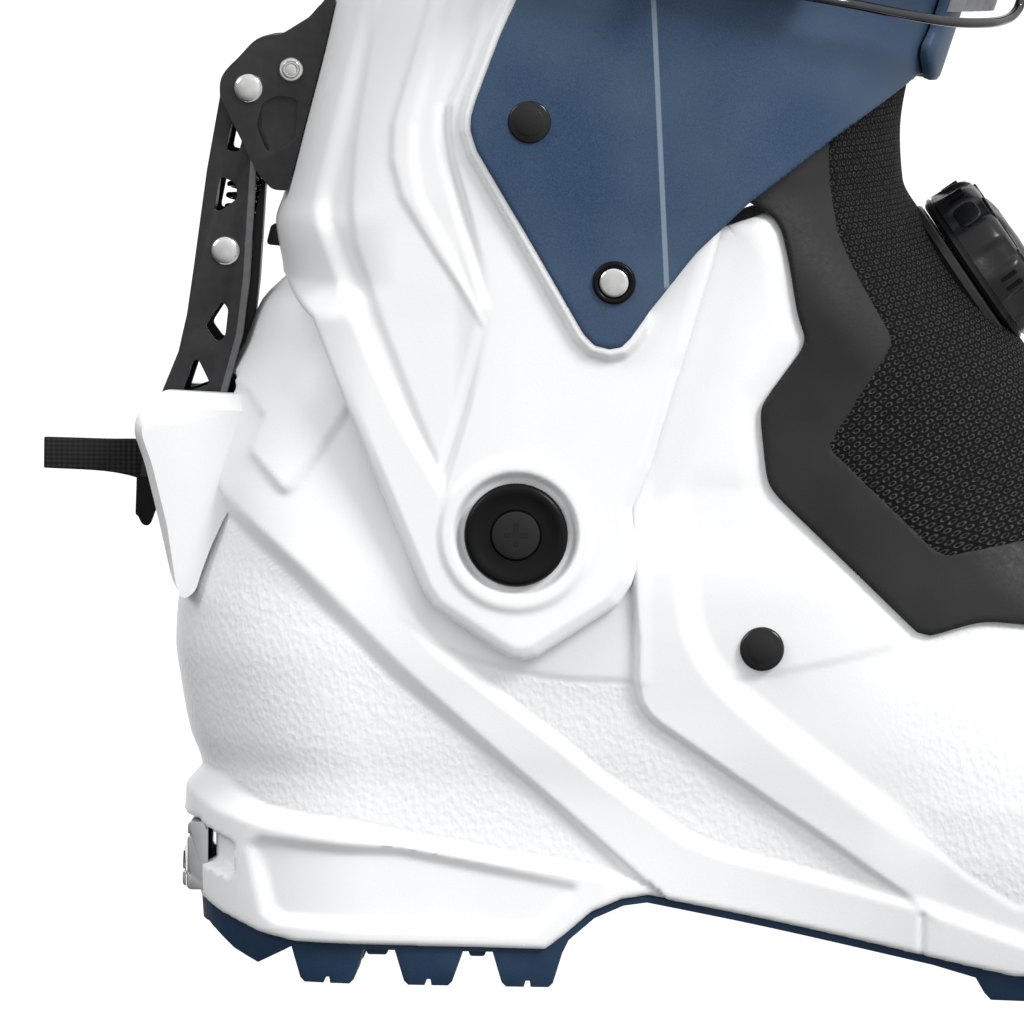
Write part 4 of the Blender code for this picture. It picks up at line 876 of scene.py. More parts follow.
def boolean(piece, cutter, operation="DIFFERENCE"):
    tool = piece.modifiers.new("cut", "BOOLEAN")
    tool.operation, tool.object, tool.solver = operation, cutter, "EXACT"
    apply_modifiers(piece)
    bpy.data.objects.remove(cutter, do_unlink=True)
    return piece


def place_piece(piece, name, body, material, angle=35.0):
    piece.name = piece.data.name = name
    piece.data.materials.clear()
    piece.data.materials.append(material)
    smooth(piece.data, angle)
    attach(piece, body)
    return piece


def slot_wall(white, arc):
    """Wall of the heel slot, behind the walk lever."""
    inner = [(x + 2.6, z) for x, z in reversed(arc)]
    wall = solid_prism("slot_wall", arc + inner, -14.4, 14.4)
    place_piece(wall, "heel_slot_wall", "lower", white)


def cradle(white):
    """Two cheeks at the heel with chamfered tops, joined below, that guide the walk lever."""
    side = rounded(((-57.2, 121.4), (-60.3, 118.6), (-62.7, 116.2), (-63.2, 112.6), (-60.9, 106.4),
                    (-57.8, 94.4), (-54.9, 82.0), (-52.6, 78.0), (-49.9, 79.6), (-48.8, 83.5),
                    (-46.6, 89.5), (-43.4, 96.5), (-37.6, 102.4), (-36.3, 108.0), (-34.0, 115.6),
                    (-37.3, 120.6)), 1.6, 4)
    rings = []
    for y, drop in ((-CRADLE_HALF, 3.2), (-18.2, 0.0), (18.2, 0.0), (CRADLE_HALF, 3.2)):
        rings.append([((x + drop * 0.55 * ramp((-52.0 - x) / 6.0)) * MM, y * MM,
                       (z - drop * ramp((z - 112.0) / 7.0)) * MM) for x, z in side])
    piece = ring_solid("cradle", rings)
    slot = ((-90.0, 84.4), (-47.5, 84.4), (-43.0, 95.0), (-40.0, 126.0), (-40.0, 140.0), (-90.0, 140.0))
    boolean(piece, solid_prism("slot", slot, -LEVER_SLOT[0], LEVER_SLOT[0]))
    bevelled(piece, 0.7, 3)
    place_piece(piece, "heel_cradle", "lower", white)
    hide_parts("lower_shell")


# ---------------------------------------------------------------- cuff

BAND_INNER = curve(((-12.0, 222.0), (-15.9, 203.7), (-19.3, 189.8), (-23.9, 170.6), (-25.6, 163.1),
                    (-25.6, 158.4), (-24.1, 153.5), (-9.2, 120.0), (1.2, 102.7), (6.0, 92.0)), 4)
INNER_PANEL = ((-5.0, 246.0), (-15.6, 203.7), (-19.4, 174.9), (-19.9, 162.0), (-18.6, 152.4), (-5.5, 120.0),
               (1.5, 103.6), (6.5, 120.0), (10.6, 136.4), (12.2, 140.7), (7.3, 155.7), (2.8, 170.6),
               (1.8, 177.0), (1.8, 182.3), (4.9, 189.8), (9.8, 203.7), (22.0, 246.0))
RIDGE = ((6.0, 236.0), (-2.0, 203.7), (-6.5, 188.2), (-9.4, 178.0), (-9.4, 170.6), (-7.1, 163.0),
         (0.4, 151.4), (10.2, 137.6), (3.7, 151.4), (-2.9, 163.0), (-4.5, 170.6), (-4.5, 178.0),
         (-2.0, 188.2), (2.4, 203.7), (12.0, 236.0))


def cuff_height(x, y, z, edge):
    top = 1 - ramp((z - 226.0) / 14.0)
    right = from_line(x, z, BAND_INNER)
    panel = in_area(x, z, INNER_PANEL)
    valley = -1.7 * ramp(right / 3.4) * (1 - ramp((x - 4.0) / 8.0))
    reach = np.maximum(0.0, -panel)
    valley *= np.where(panel > 0, 1.0, np.where(x > 2.0, np.clip(1 - reach / 1.5, 0, 1), 1.0))
    lift = valley + 0.9 * ramp(panel / 2.6) * (x < 14.0)
    lift += 0.75 * ramp((in_area(x, z, RIDGE) + 0.8) / 1.8) * (panel > 0)
    lift *= top
    radius = np.hypot(x - PIVOT[0], z - PIVOT[1])
    lift = np.where(radius < 17.0, lift * ramp((radius - 14.0) / 3.0), lift)
    lift += 0.9 * (1 - ramp((radius - 14.6) / 2.0)) - 2.3 * (1 - ramp((radius - 11.6) / 1.5))
    lip = -in_area(x, z, WING_EDGE)
    lift += 2.3 * (1 - ramp((lip - 1.1) / 1.7)) * (z < 238.0) * (x < 44.0) * (lip > -3.0)
    lower = ramp((132.0 - z) / 30.0)
    bevel = np.clip(edge / 2.6, 0, 1)
    lift -= 1.2 * (1 - bevel) * lower
    return lift + round_edge(edge, 1.0)


PIVOT_BORE_R = 8.2


def cuff_shell(white):
    levels = spans((66.0, 0.62), (206.0, 1.8), 286.0)
    points = surface(CUFF_ROWS, levels, 0.0, (84, 190, 24), (30, 50, 16))

    def keep(x, y, z):
        bore = np.hypot(x - PIVOT[0], z - PIVOT[1]) - PIVOT_BORE_R
        return np.minimum(in_area(x, z, CUFF_EDGE), bore)

    mesh, _ = skin(points, keep, cuff_height, CUFF_WALL)
    cuff = add_mesh("cuff_moulding", mesh, "cuff", white)
    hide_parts("cuff_shell")


def wing_height(x, y, z, edge):
    crease = from_line(x, z, ((33.0, 133.0), (47.6, 146.1), (44.2, 203.7), (42.0, 250.0)))
    lift = WING_TOP + 0.35 * ramp(crease / 9.0) * ramp((z - 150.0) / 20.0)
    return lift + round_edge(edge, 0.4)


def wings(blue):
    levels = spans((130.0, 0.9), (206.0, 1.6), 252.0)
    for side, tag in ((-1, "lateral"), (1, "medial")):
        points = surface(CUFF_ROWS, levels, 0.0, (20, 150, 90), (20, 150, 90))

        def keep(x, y, z):
            limit = 8.3 - y if side < 0 else y - 9.1
            return np.minimum(in_area(x, z, WING_EDGE), limit)

        mesh, _ = skin(points, keep, wing_height, -0.3)
        wing = add_mesh("wing_%s_panel" % tag, mesh, "cuff", blue)
        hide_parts("wing_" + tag)


def front_flap(blue):
    levels = spans((184.0, 0.9), (250.0, 0.9), 251.0)
    points = surface(CUFF_ROWS, levels, 0.0, (14, 70, 110), (14, 70, 110))
    area = ((75.3, 189.3), (160.0, 188.7), (160.0, 245.5), (75.3, 243.2))
    free_edge = curve(((97.6, 180.0), (95.9, 190.6), (95.6, 195.5), (98.5, 203.0), (108.5, 236.0),
                       (112.0, 250.0)), 4)

    def keep(x, y, z):
        kept = in_area(x, z, rounded(area, 5.0))
        lateral = -from_line(x, z, free_edge)
        return np.where(y < 3.1, np.minimum(kept, lateral), kept)

    def height(x, y, z, edge):
        return FLAP_TOP + round_edge(edge, 1.1)

    mesh, _ = skin(points, keep, height, -3.5)
    flap = add_mesh("shin_flap", mesh, "cuff", blue)
    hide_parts("front_flap")


# ---------------------------------------------------------------- gaiter

def loop_map(mesh, flat):
    """Map in millimetres: around the boot by arc, and down the front along its slope."""
    layer = mesh.uv_layers.new(name="loops")
    radius = np.hypot(flat[:, 0] - 40.0, flat[:, 1])
    angle = np.arctan2(flat[:, 1], flat[:, 0] - 40.0)
    u = angle * 52.0
    v = flat[:, 2] * 0.78 - radius * 0.5 + 200.0
    both = np.concatenate((np.stack((u, v), 1),) * 2)
    index = np.zeros(len(mesh.loops), np.int32)
    mesh.loops.foreach_get("vertex_index", index)
    layer.data.foreach_set("uv", both[index].astype(np.float32).ravel())


def gaiter(border, knitted):
    levels = spans((70.0, 0.9), 196.0)
    points = surface(LOWER_ROWS, levels, 0.8, (14, 90, 92), (14, 90, 92))
    outer = rounded(GAITER_EDGE, 3.0)
    inner = rounded(KNIT_EDGE, 1.6)

    def keep_border(x, y, z):
        return np.minimum(in_area(x, z, outer), -in_area(x, z, inner) + 1.2)

    def keep_knit(x, y, z):
        return np.minimum(in_area(x, z, outer), in_area(x, z, inner))

    def flat_height(x, y, z, edge):
        return 1.0 + round_edge(edge, 0.35)

    def knit_height(x, y, z, edge):
        return 0.9 + 0.5 * ramp(edge / 1.6)

    for name, keep, height, wall, material in (
            ("gaiter_film_border", keep_border, flat_height, 0.1, border),
            ("gaiter_knit_panel", keep_knit, knit_height, -0.3, knitted)):
        mesh, flat = skin(points, keep, height, wall)
        loop_map(mesh, flat)
        piece = add_mesh(name, mesh, None, material)
        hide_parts("gaiter")
        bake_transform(piece)


# ---------------------------------------------------------------- turned and swept parts

def frame_at(centre, axis):
    axis = Vector(axis).normalized()
    return Matrix.Translation(Vector(centre)) @ axis.to_track_quat("Z", "Y").to_matrix().to_4x4()


def turned(name, profile, centre, axis, sides=72, shape=None):
    """Solid of revolution from (height, radius) points in mm; shape(angle, height, radius) bends it."""
    place = frame_at(centre, axis)
    rings = []
    for h, r in profile:
        ring = []
        for i in range(sides):
            a = 2 * math.pi * i / sides
            radius = shape(a, h, r) if shape else r
            ring.append(place @ Vector((radius * math.cos(a), radius * math.sin(a), h)) * MM)
        rings.append(ring)
    return ring_solid(name, rings)


def domed(radius, height, rim, base=0.0, steps=6):
    """Profile of a rivet head: a short straight rim, then a dome."""
    points = [(base, radius - 0.12), (base + 0.12, radius), (base + rim, radius)]
    for i in range(1, steps):
        a = math.pi / 2 * i / steps
        points.append((base + rim + (height - rim) * math.sin(a), max(0.4, radius * math.cos(a) ** 0.75)))
    return points + [(base + height, 0.35)]


def tube(name, path, radius, sides):
    """Round wire along a path in mm."""
    pts = [Vector(p) for p in path]
    rings = []
    normal = None
    for back, p, ahead in zip(pts[:1] + pts, pts, pts[1:] + pts[-1:]):
        along = (ahead - back).normalized()
        if normal is None:
            normal = along.orthogonal().normalized()
        normal = (normal - along * normal.dot(along)).normalized()
        other = along.cross(normal)
        rings.append([(p + (normal * math.cos(a) + other * math.sin(a)) * radius) * MM
                      for a in (2 * math.pi * k / sides for k in range(sides))])
    return ring_solid(name, rings)


def smooth_path(points, steps):
    return spline([Vector(q) for q in points], steps)


def block(name, outline, low, high, origin, across, up, along, bevel=0.0):
    """Outline of (across, up) extruded along a third direction from low to high."""
    rings = [[(origin + across * a + up * b + along * w) * MM for a, b in outline] for w in (low, high)]
    return ring_solid(name, rings, bevel, prism=True)


def joined(piece, *others):
    for other in others:
        boolean(piece, other, "UNION")
    return piece


# ---------------------------------------------------------------- walk lever

LEVER_HOLLOW = ((-43.6, 180.0), (-44.6, 178.0), (-47.1, 166.8), (-49.6, 146.7), (-50.9, 137.4),
                (-52.7, 129.8), (-56.6, 119.9), (-59.3, 110.5), (-60.3, 98.0), (-40.0, 98.0),
                (-30.0, 140.0), (-28.0, 180.0), (-36.0, 195.0), (-42.5, 195.0))


def two_headed(head, shank, at, half, name, body, node, material):
    """Pin along Y with a domed head at each end.

    head is (radius, height) and shank is (half length, radius).
    """
    x, z = at
    ends = [turned("head", domed(*head, 0.25, -0.1), (x, side * half, z), (0, side, 0), 48)
            for side in (-1, 1)]
    length, radius = shank
    stem = turned("shank", ((-length, radius), (length, radius)), (x, 0, z), (0, 1, 0), 24)
    piece = joined(ends[0], stem, ends[1])
    place_piece(piece, name, body, material, 50)
    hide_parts(node)


def walk_lever(body, edge_metal, polished, dark):
    lever = solid_prism("lever", LEVER_EDGE, -LEVER_HALF, LEVER_HALF)
    boolean(lever, solid_prism("hollow", LEVER_HOLLOW, -10.6, 10.6))
    for window in LEVER_WINDOWS:
        boolean(lever, solid_prism("window", rounded(window, 0.9, 3), -20, 20))
    bevelled(lever, 0.45, 2)
    place_piece(lever, "walk_lever_channel", "walk_lever", body, 30)
    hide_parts("walk_lever")
    strip = [(x + 0.25, z) for x, z in LEVER_EDGE[9:17]]
    inner = [(x - 1.5, z) for x, z in reversed(strip)]
    for low in (-LEVER_HALF - 0.12, LEVER_HALF - 1.65):
        rail = solid_prism("rail", strip + inner, low, low + 1.77, 0.2)
        place_piece(rail, "lever_front_rail", "walk_lever", edge_metal)

    front = LEVER_EDGE[12:17]
    bar_edge = [(x + 1.7, z) for x, z in front] + [(-39.6, 156.0), (-43.6, 156.4)]
    bar_edge += [(x - 1.6, z) for x, z in reversed(front[:4])]
    bar = solid_prism("bar", rounded(bar_edge, 1.5, 3), -3.5, 3.5, 0.5)
    place_piece(bar, "lever_lock_bar", "walk_lever", dark)
    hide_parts("lever_bar")

    two_headed((3.1, 1.35), (12.2, 1.5), LEVER_RIVET, LEVER_HALF,
               "lever_dome_rivet", "walk_lever", "lever_rivet", polished)
    two_headed((3.15, 1.5), (15.5, 1.9), LEVER_PIVOT, BRACKET_HALF,
               "lever_pivot_pin", "cuff", "lever_pin", polished)


def lever_spring(steel):
    turns, steps = 6.0, 30
    start, end = Vector((-42.6, 0, 155.6)), Vector((-41.2, 0, 169.6))
    axis = (end - start).normalized()
    one = axis.orthogonal().normalized()
    two = axis.cross(one)
    path = []
    for i in range(int(turns * steps) + 1):
        t = i / (turns * steps)
        a = 2 * math.pi * turns * t
        path.append(start.lerp(end, t) + (one * math.cos(a) + two * math.sin(a)) * 3.2)
    coil = tube("coil", path, 0.6, 10)
    place_piece(coil, "lever_coil_spring", "walk_lever", steel, 60)
    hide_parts("lever_spring")


def lever_bracket(body, polished, dark):
    outline = rounded(BRACKET_EDGE, 1.6, 3)
    bracket = solid_prism("bracket", outline, -BRACKET_HALF, BRACKET_HALF)
    face = surface(CUFF_ROWS, spans((150.0, 3.0), 215.0), 0.35, (24, 16, 8))
    boolean(bracket, closed_body("face", face))
    room = ((-60.0, 150.0), (-20.0, 150.0), (-20.0, 186.0), (-31.0, 190.3), (-43.0, 190.3), (-60.0, 186.0))
    boolean(bracket, solid_prism("room", room, -12.9, 12.9))
    window = rounded(((-38.6, 176.5), (-37.4, 181.2), (-34.4, 182.8), (-30.0, 182.2), (-30.5, 174.0),
                      (-34.0, 171.2), (-36.4, 171.2)), 1.3, 4)
    for side in (-1, 1):
        boolean(bracket, solid_prism("window", window, side * BRACKET_HALF - 1.1, side * BRACKET_HALF + 1.1))
    bevelled(bracket, 0.5, 3)
    place_piece(bracket, "lever_bracket_body", "cuff", body)
    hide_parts("lever_bracket")

    back = rounded(((-39.4, 176.8), (-38.0, 181.6), (-37.4, 181.6), (-37.6, 176.2), (-35.8, 171.6),
                    (-36.4, 171.4)),
                   0.5, 3)
    for side in (-1, 1):
        lug = solid_prism("lug", back, side * (BRACKET_HALF - 1.0) - 0.2, side * (BRACKET_HALF - 1.0) + 0.2,
                          0.15)
        place_piece(lug, "bracket_window_step", "cuff", dark)

    hood = rounded(((-45.0, 187.9), (-42.0, 191.2), (-39.6, 193.9), (-37.3, 195.2), (-33.8, 195.4),
                    (-27.2, 199.6),
                    (-23.9, 204.0), (-19.0, 204.0), (-19.0, 199.0), (-26.2, 196.5), (-31.0, 193.6),
                    (-36.0, 191.6),
                    (-41.0, 190.4), (-44.0, 187.0)), 1.2, 3)
    for low, high in ((-13.9, -9.3), (-2.3, 2.3), (9.3, 13.9)):
        ridge = solid_prism("ridge", hood, low, high, 0.5)
        place_piece(ridge, "bracket_hood_ridge", "cuff", body)

    for side, tag in ((-1, "lateral"), (1, "medial")):
        ring = ((-0.3, 2.5), (0.5, 2.5), (0.75, 2.3), (0.8, 1.9), (0.25, 1.55), (0.25, 1.3), (0.6, 1.1),
                (0.7, 0.5))
        screw = turned("screw", ring, (-31.5, side * BRACKET_HALF, 188.2), (0, side, 0), 48)
        place_piece(screw, "bracket_screw_head_" + tag, "cuff", polished, 30)
        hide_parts("bracket_screw_" + tag)

    stub = solid_prism("stub", rounded(((-37.0, 151.4), (-30.0, 150.8), (-30.0, 155.9), (-36.0, 155.7)),
                                       0.9, 3),
                       -4, 4, 0.4)
    place_piece(stub, "cuff_stub_bumper", "cuff", dark)
    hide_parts("cuff_bumper")


def pull_strap(band, tab_material):
    outline = curve(((-60.6, 108.2), (-62.6, 110.0), (-70.0, 110.1), (-83.3, 110.3))) + \
        curve(((-83.3, 103.8), (-72.0, 103.4), (-66.0, 102.6), (-61.8, 101.4)))
    web = solid_prism("web", outline, -0.9, 0.9, 0.3)
    place_piece(web, "pull_webbing", "walk_lever", band)
    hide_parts("pull_strap")
    fold = rounded(((-59.6, 108.8), (-62.9, 109.0), (-63.4, 103.4), (-62.9, 100.4), (-63.6, 94.4),
                    (-62.4, 92.1),
                    (-60.9, 92.0), (-59.5, 96.0), (-58.9, 102.0)), 1.0, 3)
    tab = solid_prism("tab", fold, -1.6, 1.6, 0.5)
    place_piece(tab, "pull_tab", "walk_lever", tab_material)
    crease = rounded(((-63.8, 103.0), (-62.9, 103.6), (-62.4, 100.0), (-63.1, 93.6), (-64.0, 94.4)), 0.4, 3)
    spine = solid_prism("spine", crease, -0.5, 0.5, 0.2)
    place_piece(spine, "pull_tab_spine", "walk_lever", tab_material)


# ---------------------------------------------------------------- lace dial

DIAL_LOBES = 9


def round_dial(angle):
    """Outward and sideways directions on the dial at an angle."""
    turn = frame_at(DIAL_CENTRE, DIAL_AXIS).to_3x3()
    return ((turn @ Vector((math.cos(angle), math.sin(angle), 0))).normalized(),
            (turn @ Vector((-math.sin(angle), math.cos(angle), 0))).normalized())


def lace_dial(gloss, dark, grey):
    base = turned("base", ((-3.6, 15.2), (-1.7, 16.6), (-1.2, 17.2), (0.1, 17.2), (0.5, 16.8), (0.6, 16.0),
                           (0.6, 4.2), (6.5, 4.2)), DIAL_CENTRE, DIAL_AXIS, 128)
    place_piece(base, "dial_bayonet_base", "lower", grey, 28)
    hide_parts("dial_base")

    def lobes(angle, h, r):
        if r < 14.0 or h < 3.4:
            return r
        phase = (angle * DIAL_LOBES / (2 * math.pi)) % 1.0
        off = abs(phase - 0.5) * 2
        dip = ramp((1 - off - 0.38) / 0.34)
        fade = float(np.clip((h - 4.0) / 1.6, 0, 1) * np.clip((11.4 - h) / 1.2 + 0.35, 0, 1))
        return r - 1.15 * float(dip) * fade

    r = DIAL_R
    profile = [(0.9, 10.0), (0.9, r - 1.2), (1.2, r - 0.6), (1.8, r - 0.2), (1.9, r + 0.1), (2.6, r + 0.1),
               (2.7, r - 0.3), (3.1, r - 0.3), (3.2, r + 0.1), (4.6, r + 0.1), (6.6, r), (8.4, r - 0.15),
               (9.8, r - 0.5), (10.8, r - 1.0), (11.6, r - 1.9), (12.0, r - 2.9), (12.2, r - 4.2),
               (12.1, 11.7), (11.2, 11.7), (11.0, 10.0)]
    knob = turned("knob", profile, DIAL_CENTRE, DIAL_AXIS, 216, lobes)
    place_piece(knob, "dial_grip_ring", "dial", gloss, 30)
    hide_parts("dial_knob")

    place = frame_at(DIAL_CENTRE, DIAL_AXIS)
    pads, slots = [], []
    for i in range(DIAL_LOBES):
        outward, side = round_dial(2 * math.pi * (i + 0.5) / DIAL_LOBES)
        centre = place @ Vector((0, 0, 7.6))
        if i % 3 == 0:
            outline = rounded(((-2.6, -2.5), (2.6, -2.5), (2.9, 0.4), (2.0, 2.7), (-2.0, 2.7), (-2.9, 0.4)),
                              1.3, 4)
            pads.append(block("pad", outline, r - 2.1, r - 0.35, centre, side, DIAL_AXIS, outward, 0.35))
        outward, side = round_dial(2 * math.pi * i / DIAL_LOBES)
        if i % 3 != 1:
            for shift in (-1.15, 1.15):
                outline = rounded(((shift - 0.42, -1.9), (shift + 0.42, -1.9), (shift + 0.42, 1.9),
                                   (shift - 0.42, 1.9)), 0.4, 3)
                slots.append(block("slot", outline, r - 0.65, r + 0.12, centre, side, DIAL_AXIS, outward))
    for pad in pads:
        place_piece(pad, "dial_thumb_pad", "dial", gloss, 30)
    for slot in slots:
        place_piece(slot, "dial_slot_mark", "dial", dark, 30)

    def petals(angle, h, radius):
        if not 5.0 < radius < 10.6:
            return radius
        return radius - 0.5 * math.cos(angle * 6)

    cap = turned("cap", ((10.9, 11.3), (12.0, 11.3), (12.45, 10.9), (12.7, 9.9), (13.1, 8.6), (13.4, 7.0),
                         (13.35, 6.4), (12.7, 6.1), (12.7, 4.4), (13.3, 4.1), (13.5, 3.0), (13.6, 0.4)),
                 DIAL_CENTRE, DIAL_AXIS, 120, petals)
    place_piece(cap, "dial_centre_cap", "dial", dark, 30)
    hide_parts("dial_cap")
    for i in range(6):
        outward, side = round_dial(2 * math.pi * i / 6 + 0.3)
        outline = rounded(((10.9, -2.6), (14.3, -3.1), (14.6, 0.0), (14.3, 3.1), (10.9, 2.6), (10.4, 0.0)),
                          1.2, 4)
        petal = block("petal", outline, 11.4, 12.45, Vector(DIAL_CENTRE), outward, side, DIAL_AXIS, 0.3)
        place_piece(petal, "dial_top_petal", "dial", gloss if i % 2 else dark, 30)


# ---------------------------------------------------------------- pivots and rivets

def pivots(washer_black, screw_black):
    for side, tag in ((-1, "lateral"), (1, "medial")):
        centre = (PIVOT[0], 0, PIVOT[1])
        ring = ((47.2, 9.4), (47.5, 10.2), (47.9, 10.55), (48.4, 10.6), (48.9, 10.35), (49.2, 9.9),
                (49.35, 9.3),
                (49.1, 8.5), (48.75, 7.4), (48.6, 6.2), (48.6, 5.3), (47.4, 5.2))
        washer = turned("washer", ring, centre, (0, side, 0), 96)
        place_piece(washer, "pivot_dished_washer_" + tag, "cuff", washer_black, 50)
        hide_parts("pivot_washer_" + tag)
        head = turned("head", ((47.4, 5.05), (48.9, 5.05), (49.25, 4.85), (49.4, 4.4), (49.4, 0.6)), centre,
                      (0, side, 0), 64)
        for a, b in ((2.4, 0.55), (0.55, 2.4)):
            slot = rounded(((-a, -b), (a, -b), (a, b), (-a, b)), 0.35, 2)
            boolean(head, block("cross", slot, 48.3, 51.0, Vector(centre), Vector((1, 0, 0)),
                                Vector((0, 0, 1)),
                                Vector((0, side, 0))))
        place_piece(head, "pivot_screw_head_" + tag, "cuff", screw_black, 30)
        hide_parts("pivot_screw_" + tag)


def on_surface(rows, x, z, offset, side):
    """Distance from the middle plane to a body surface raised by offset."""
    row = row_at(rows, [z])
    widths = row[:, 3:7]
    width = half_width(widths, np.array([[x]]))[0, 0]
    a = 1.0
    rear, front = row[0, 1], row[0, 2]
    if x < rear + row[0, 7]:
        a = math.sqrt(max(0.0, 1 - ((rear + row[0, 7] - x) / row[0, 7]) ** 2))
    if x > front - row[0, 8]:
        a = math.sqrt(max(0.0, 1 - ((x - front + row[0, 8]) / row[0, 8]) ** 2))
    return side * (width + offset) * a


BLACK_HEAD = ((-0.5, 4.35), (0.5, 4.4), (0.8, 4.3), (1.0, 4.0), (1.05, 3.3), (1.2, 3.0), (1.45, 2.2),
              (1.6, 0.4))
RIM = ((-0.5, 4.35), (0.6, 4.4), (0.95, 4.2), (1.05, 3.8), (0.9, 3.3), (0.5, 3.1), (0.4, 2.9))
CORE = ((0.2, 3.0), (0.9, 3.05), (1.2, 2.85), (1.3, 2.4), (1.35, 0.4))
SHELL_HEAD = ((-0.5, 4.5), (1.5, 4.55), (1.85, 4.4), (2.05, 4.0), (2.1, 3.3), (2.25, 2.9), (2.5, 2.0),
              (2.6, 0.4))


def rivets(gloss, silver, rim):
    upper, lower = WING_RIVETS
    for side, tag in ((-1, "lateral"), (1, "medial")):
        for name, profile, spot, sides, body, slot, material, node in (
                ("wing_rivet_black_", BLACK_HEAD, upper, 64, "cuff", "black_plastic", gloss, "rivet_upper_"),
                ("wing_rivet_rim_", RIM, lower, 64, "cuff", "black_plastic", rim, "rivet_lower_"),
                ("wing_rivet_core_", CORE, lower, 48, "cuff", "steel", silver, None),
                ("shell_rivet_head_", SHELL_HEAD, SHELL_RIVET, 64, "lower", "black_plastic", gloss,
                 "shell_rivet_")):
            x, z = spot
            if body == "cuff":
                y = on_surface(CUFF_ROWS, x, z, WING_TOP, side) - side * 0.2
            else:
                y = on_surface(LOWER_ROWS, x, z, 0.3, side)
            head = turned("head", profile, (x, y, z), (0, side, 0), sides)
            place_piece(head, name + tag, body, material, 50)
            if node:
                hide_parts(node + tag)


# ---------------------------------------------------------------- outsole and heel insert

def heel_insert(chrome):
    block_edge = rounded(((-53.4, 17.4), (-49.1, 17.4), (-49.1, 31.6), (-53.4, 31.6)), 0.9, 3)
    insert = solid_prism("insert", block_edge, -18, 18)
    for side in (-1, 1):
        groove = block("groove", rounded(((-2.6, 13.0), (2.6, 13.0), (2.2, 22.5), (1.2, 25.0), (-1.2, 25.0),
                                          (-2.2, 22.5)), 0.8, 3), -60, -51.0, Vector((0, side * 13.5, 0)),
                       Vector((0, 1, 0)), Vector((0, 0, 1)), Vector((1, 0, 0)))
        boolean(insert, groove)
    for z in (20.4, 28.4):
        boolean(insert, solid_prism("score", ((-54.5, z), (-52.9, z), (-52.9, z + 0.7), (-54.5, z + 0.7)),
                                    -20, 20))
    bevelled(insert, 0.4, 2)
    for vertex in insert.data.vertices:
        vertex.co.x += 2.4 * MM * (vertex.co.y / 0.018) ** 2
    place_piece(insert, "heel_binding_plate", "lower", chrome)
    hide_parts("heel_tech_insert")


def closed_body(name, points):
    """Solid between the rings of a surface, closed at both ends."""
    return ring_solid(name, [[Vector(p) * MM for p in ring] for ring in points.tolist()])


def sole_outline():
    """Rubber's outline: along the sole line, then back over the lugs, each heel lug with a sipe in its face.
    """
    top = [(x, z - 0.2) for x, z in SOLE_LINE]
    top[0] = (-47.2, 16.6)
    edge = [(-60.0, 16.6)] + top + [(230.0, 31.0), (230.0, 22.0)]
    bottom = [(200.0, 13.4), (191.0, 9.6)]
    for first, last in reversed(FORE_LUGS):
        rise = max(0.0, (first - 140.0) / 45.0) ** 2 * 6.0
        base = 4.6 + max(0.0, (first - 130.0) / 55.0) ** 2 * 5.5
        low = rise + 0.5 * (last > 170)
        bottom += [(last + LUG_DRAFT, base + 0.6), (last + 0.4, low + 1.5), (last - 1.0, low),
                   (first + 1.0, rise),
                   (first - 0.4, rise + 1.5), (first - LUG_DRAFT, base)]
    bottom += [(104.0, 6.9), (45.0, 18.0), (40.2, 17.3), (34.2, 14.6), (29.0, 10.0)]
    for first, last in reversed(HEEL_LUGS):
        middle = (first + last) / 2
        bottom += [(last + LUG_DRAFT, HEEL_BASE), (last + 0.3, 0.9), (last - 0.6, 0.0), (middle + 0.7, 0.0),
                   (middle + 0.5, 1.3), (middle - 0.5, 1.3), (middle - 0.7, 0.0), (first + 0.6, 0.0),
                   (first - 0.3, 0.9), (first - LUG_DRAFT, HEEL_BASE)]
    bottom += [(-35.7, 3.3), (-41.0, 5.7), (-46.9, 10.2), (-60.0, 11.5)]
    return edge + bottom


def box_cut(piece, low, high):
    outline = ((low[0], low[2]), (high[0], low[2]), (high[0], high[2]), (low[0], high[2]))
    boolean(piece, solid_prism("cut", outline, low[1], high[1]))


def outsole(navy):
    sole = closed_body("sole", surface(LOWER_ROWS, spans((-4.0, 4.0), 32.0), 0.0, (12, 44, 14)))
    boolean(sole, solid_prism("trim", sole_outline(), -80, 80), "INTERSECT")
    box_cut(sole, (-60, -7, -5), (-9.6, 7, 6.6))
    box_cut(sole, (9.6, -7, -5), (27, 7, 6.6))
    box_cut(sole, (108, -9, -5), (189, 9, 4.0))
    bevelled(sole, 0.55, 2, 38)
    place_piece(sole, "rubber_outsole", "lower", navy, 30)
    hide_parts("outsole")
    for first, last in ((-13.2, -8.0), (8.0, 12.2)):
        spacer = solid_prism("spacer", rounded(((first, 8.2), (first + 0.6, 6.2), (last - 0.6, 6.2),
                                                (last, 8.2)), 0.4, 2), -33.2, -29.0, 0.2)
        place_piece(spacer, "sole_spacer", "lower", navy, 30)


# ---------------------------------------------------------------- buckle

def buckle_point(back, out, along):
    return BUCKLE_HINGE + BACKWARD * back + OUTWARD * out + SHAFT * along


def buckle_slab(name, outline, low, high, bevel=0.0):
    return block(name, outline, low, high, BUCKLE_HINGE, BACKWARD, OUTWARD, SHAFT, bevel)


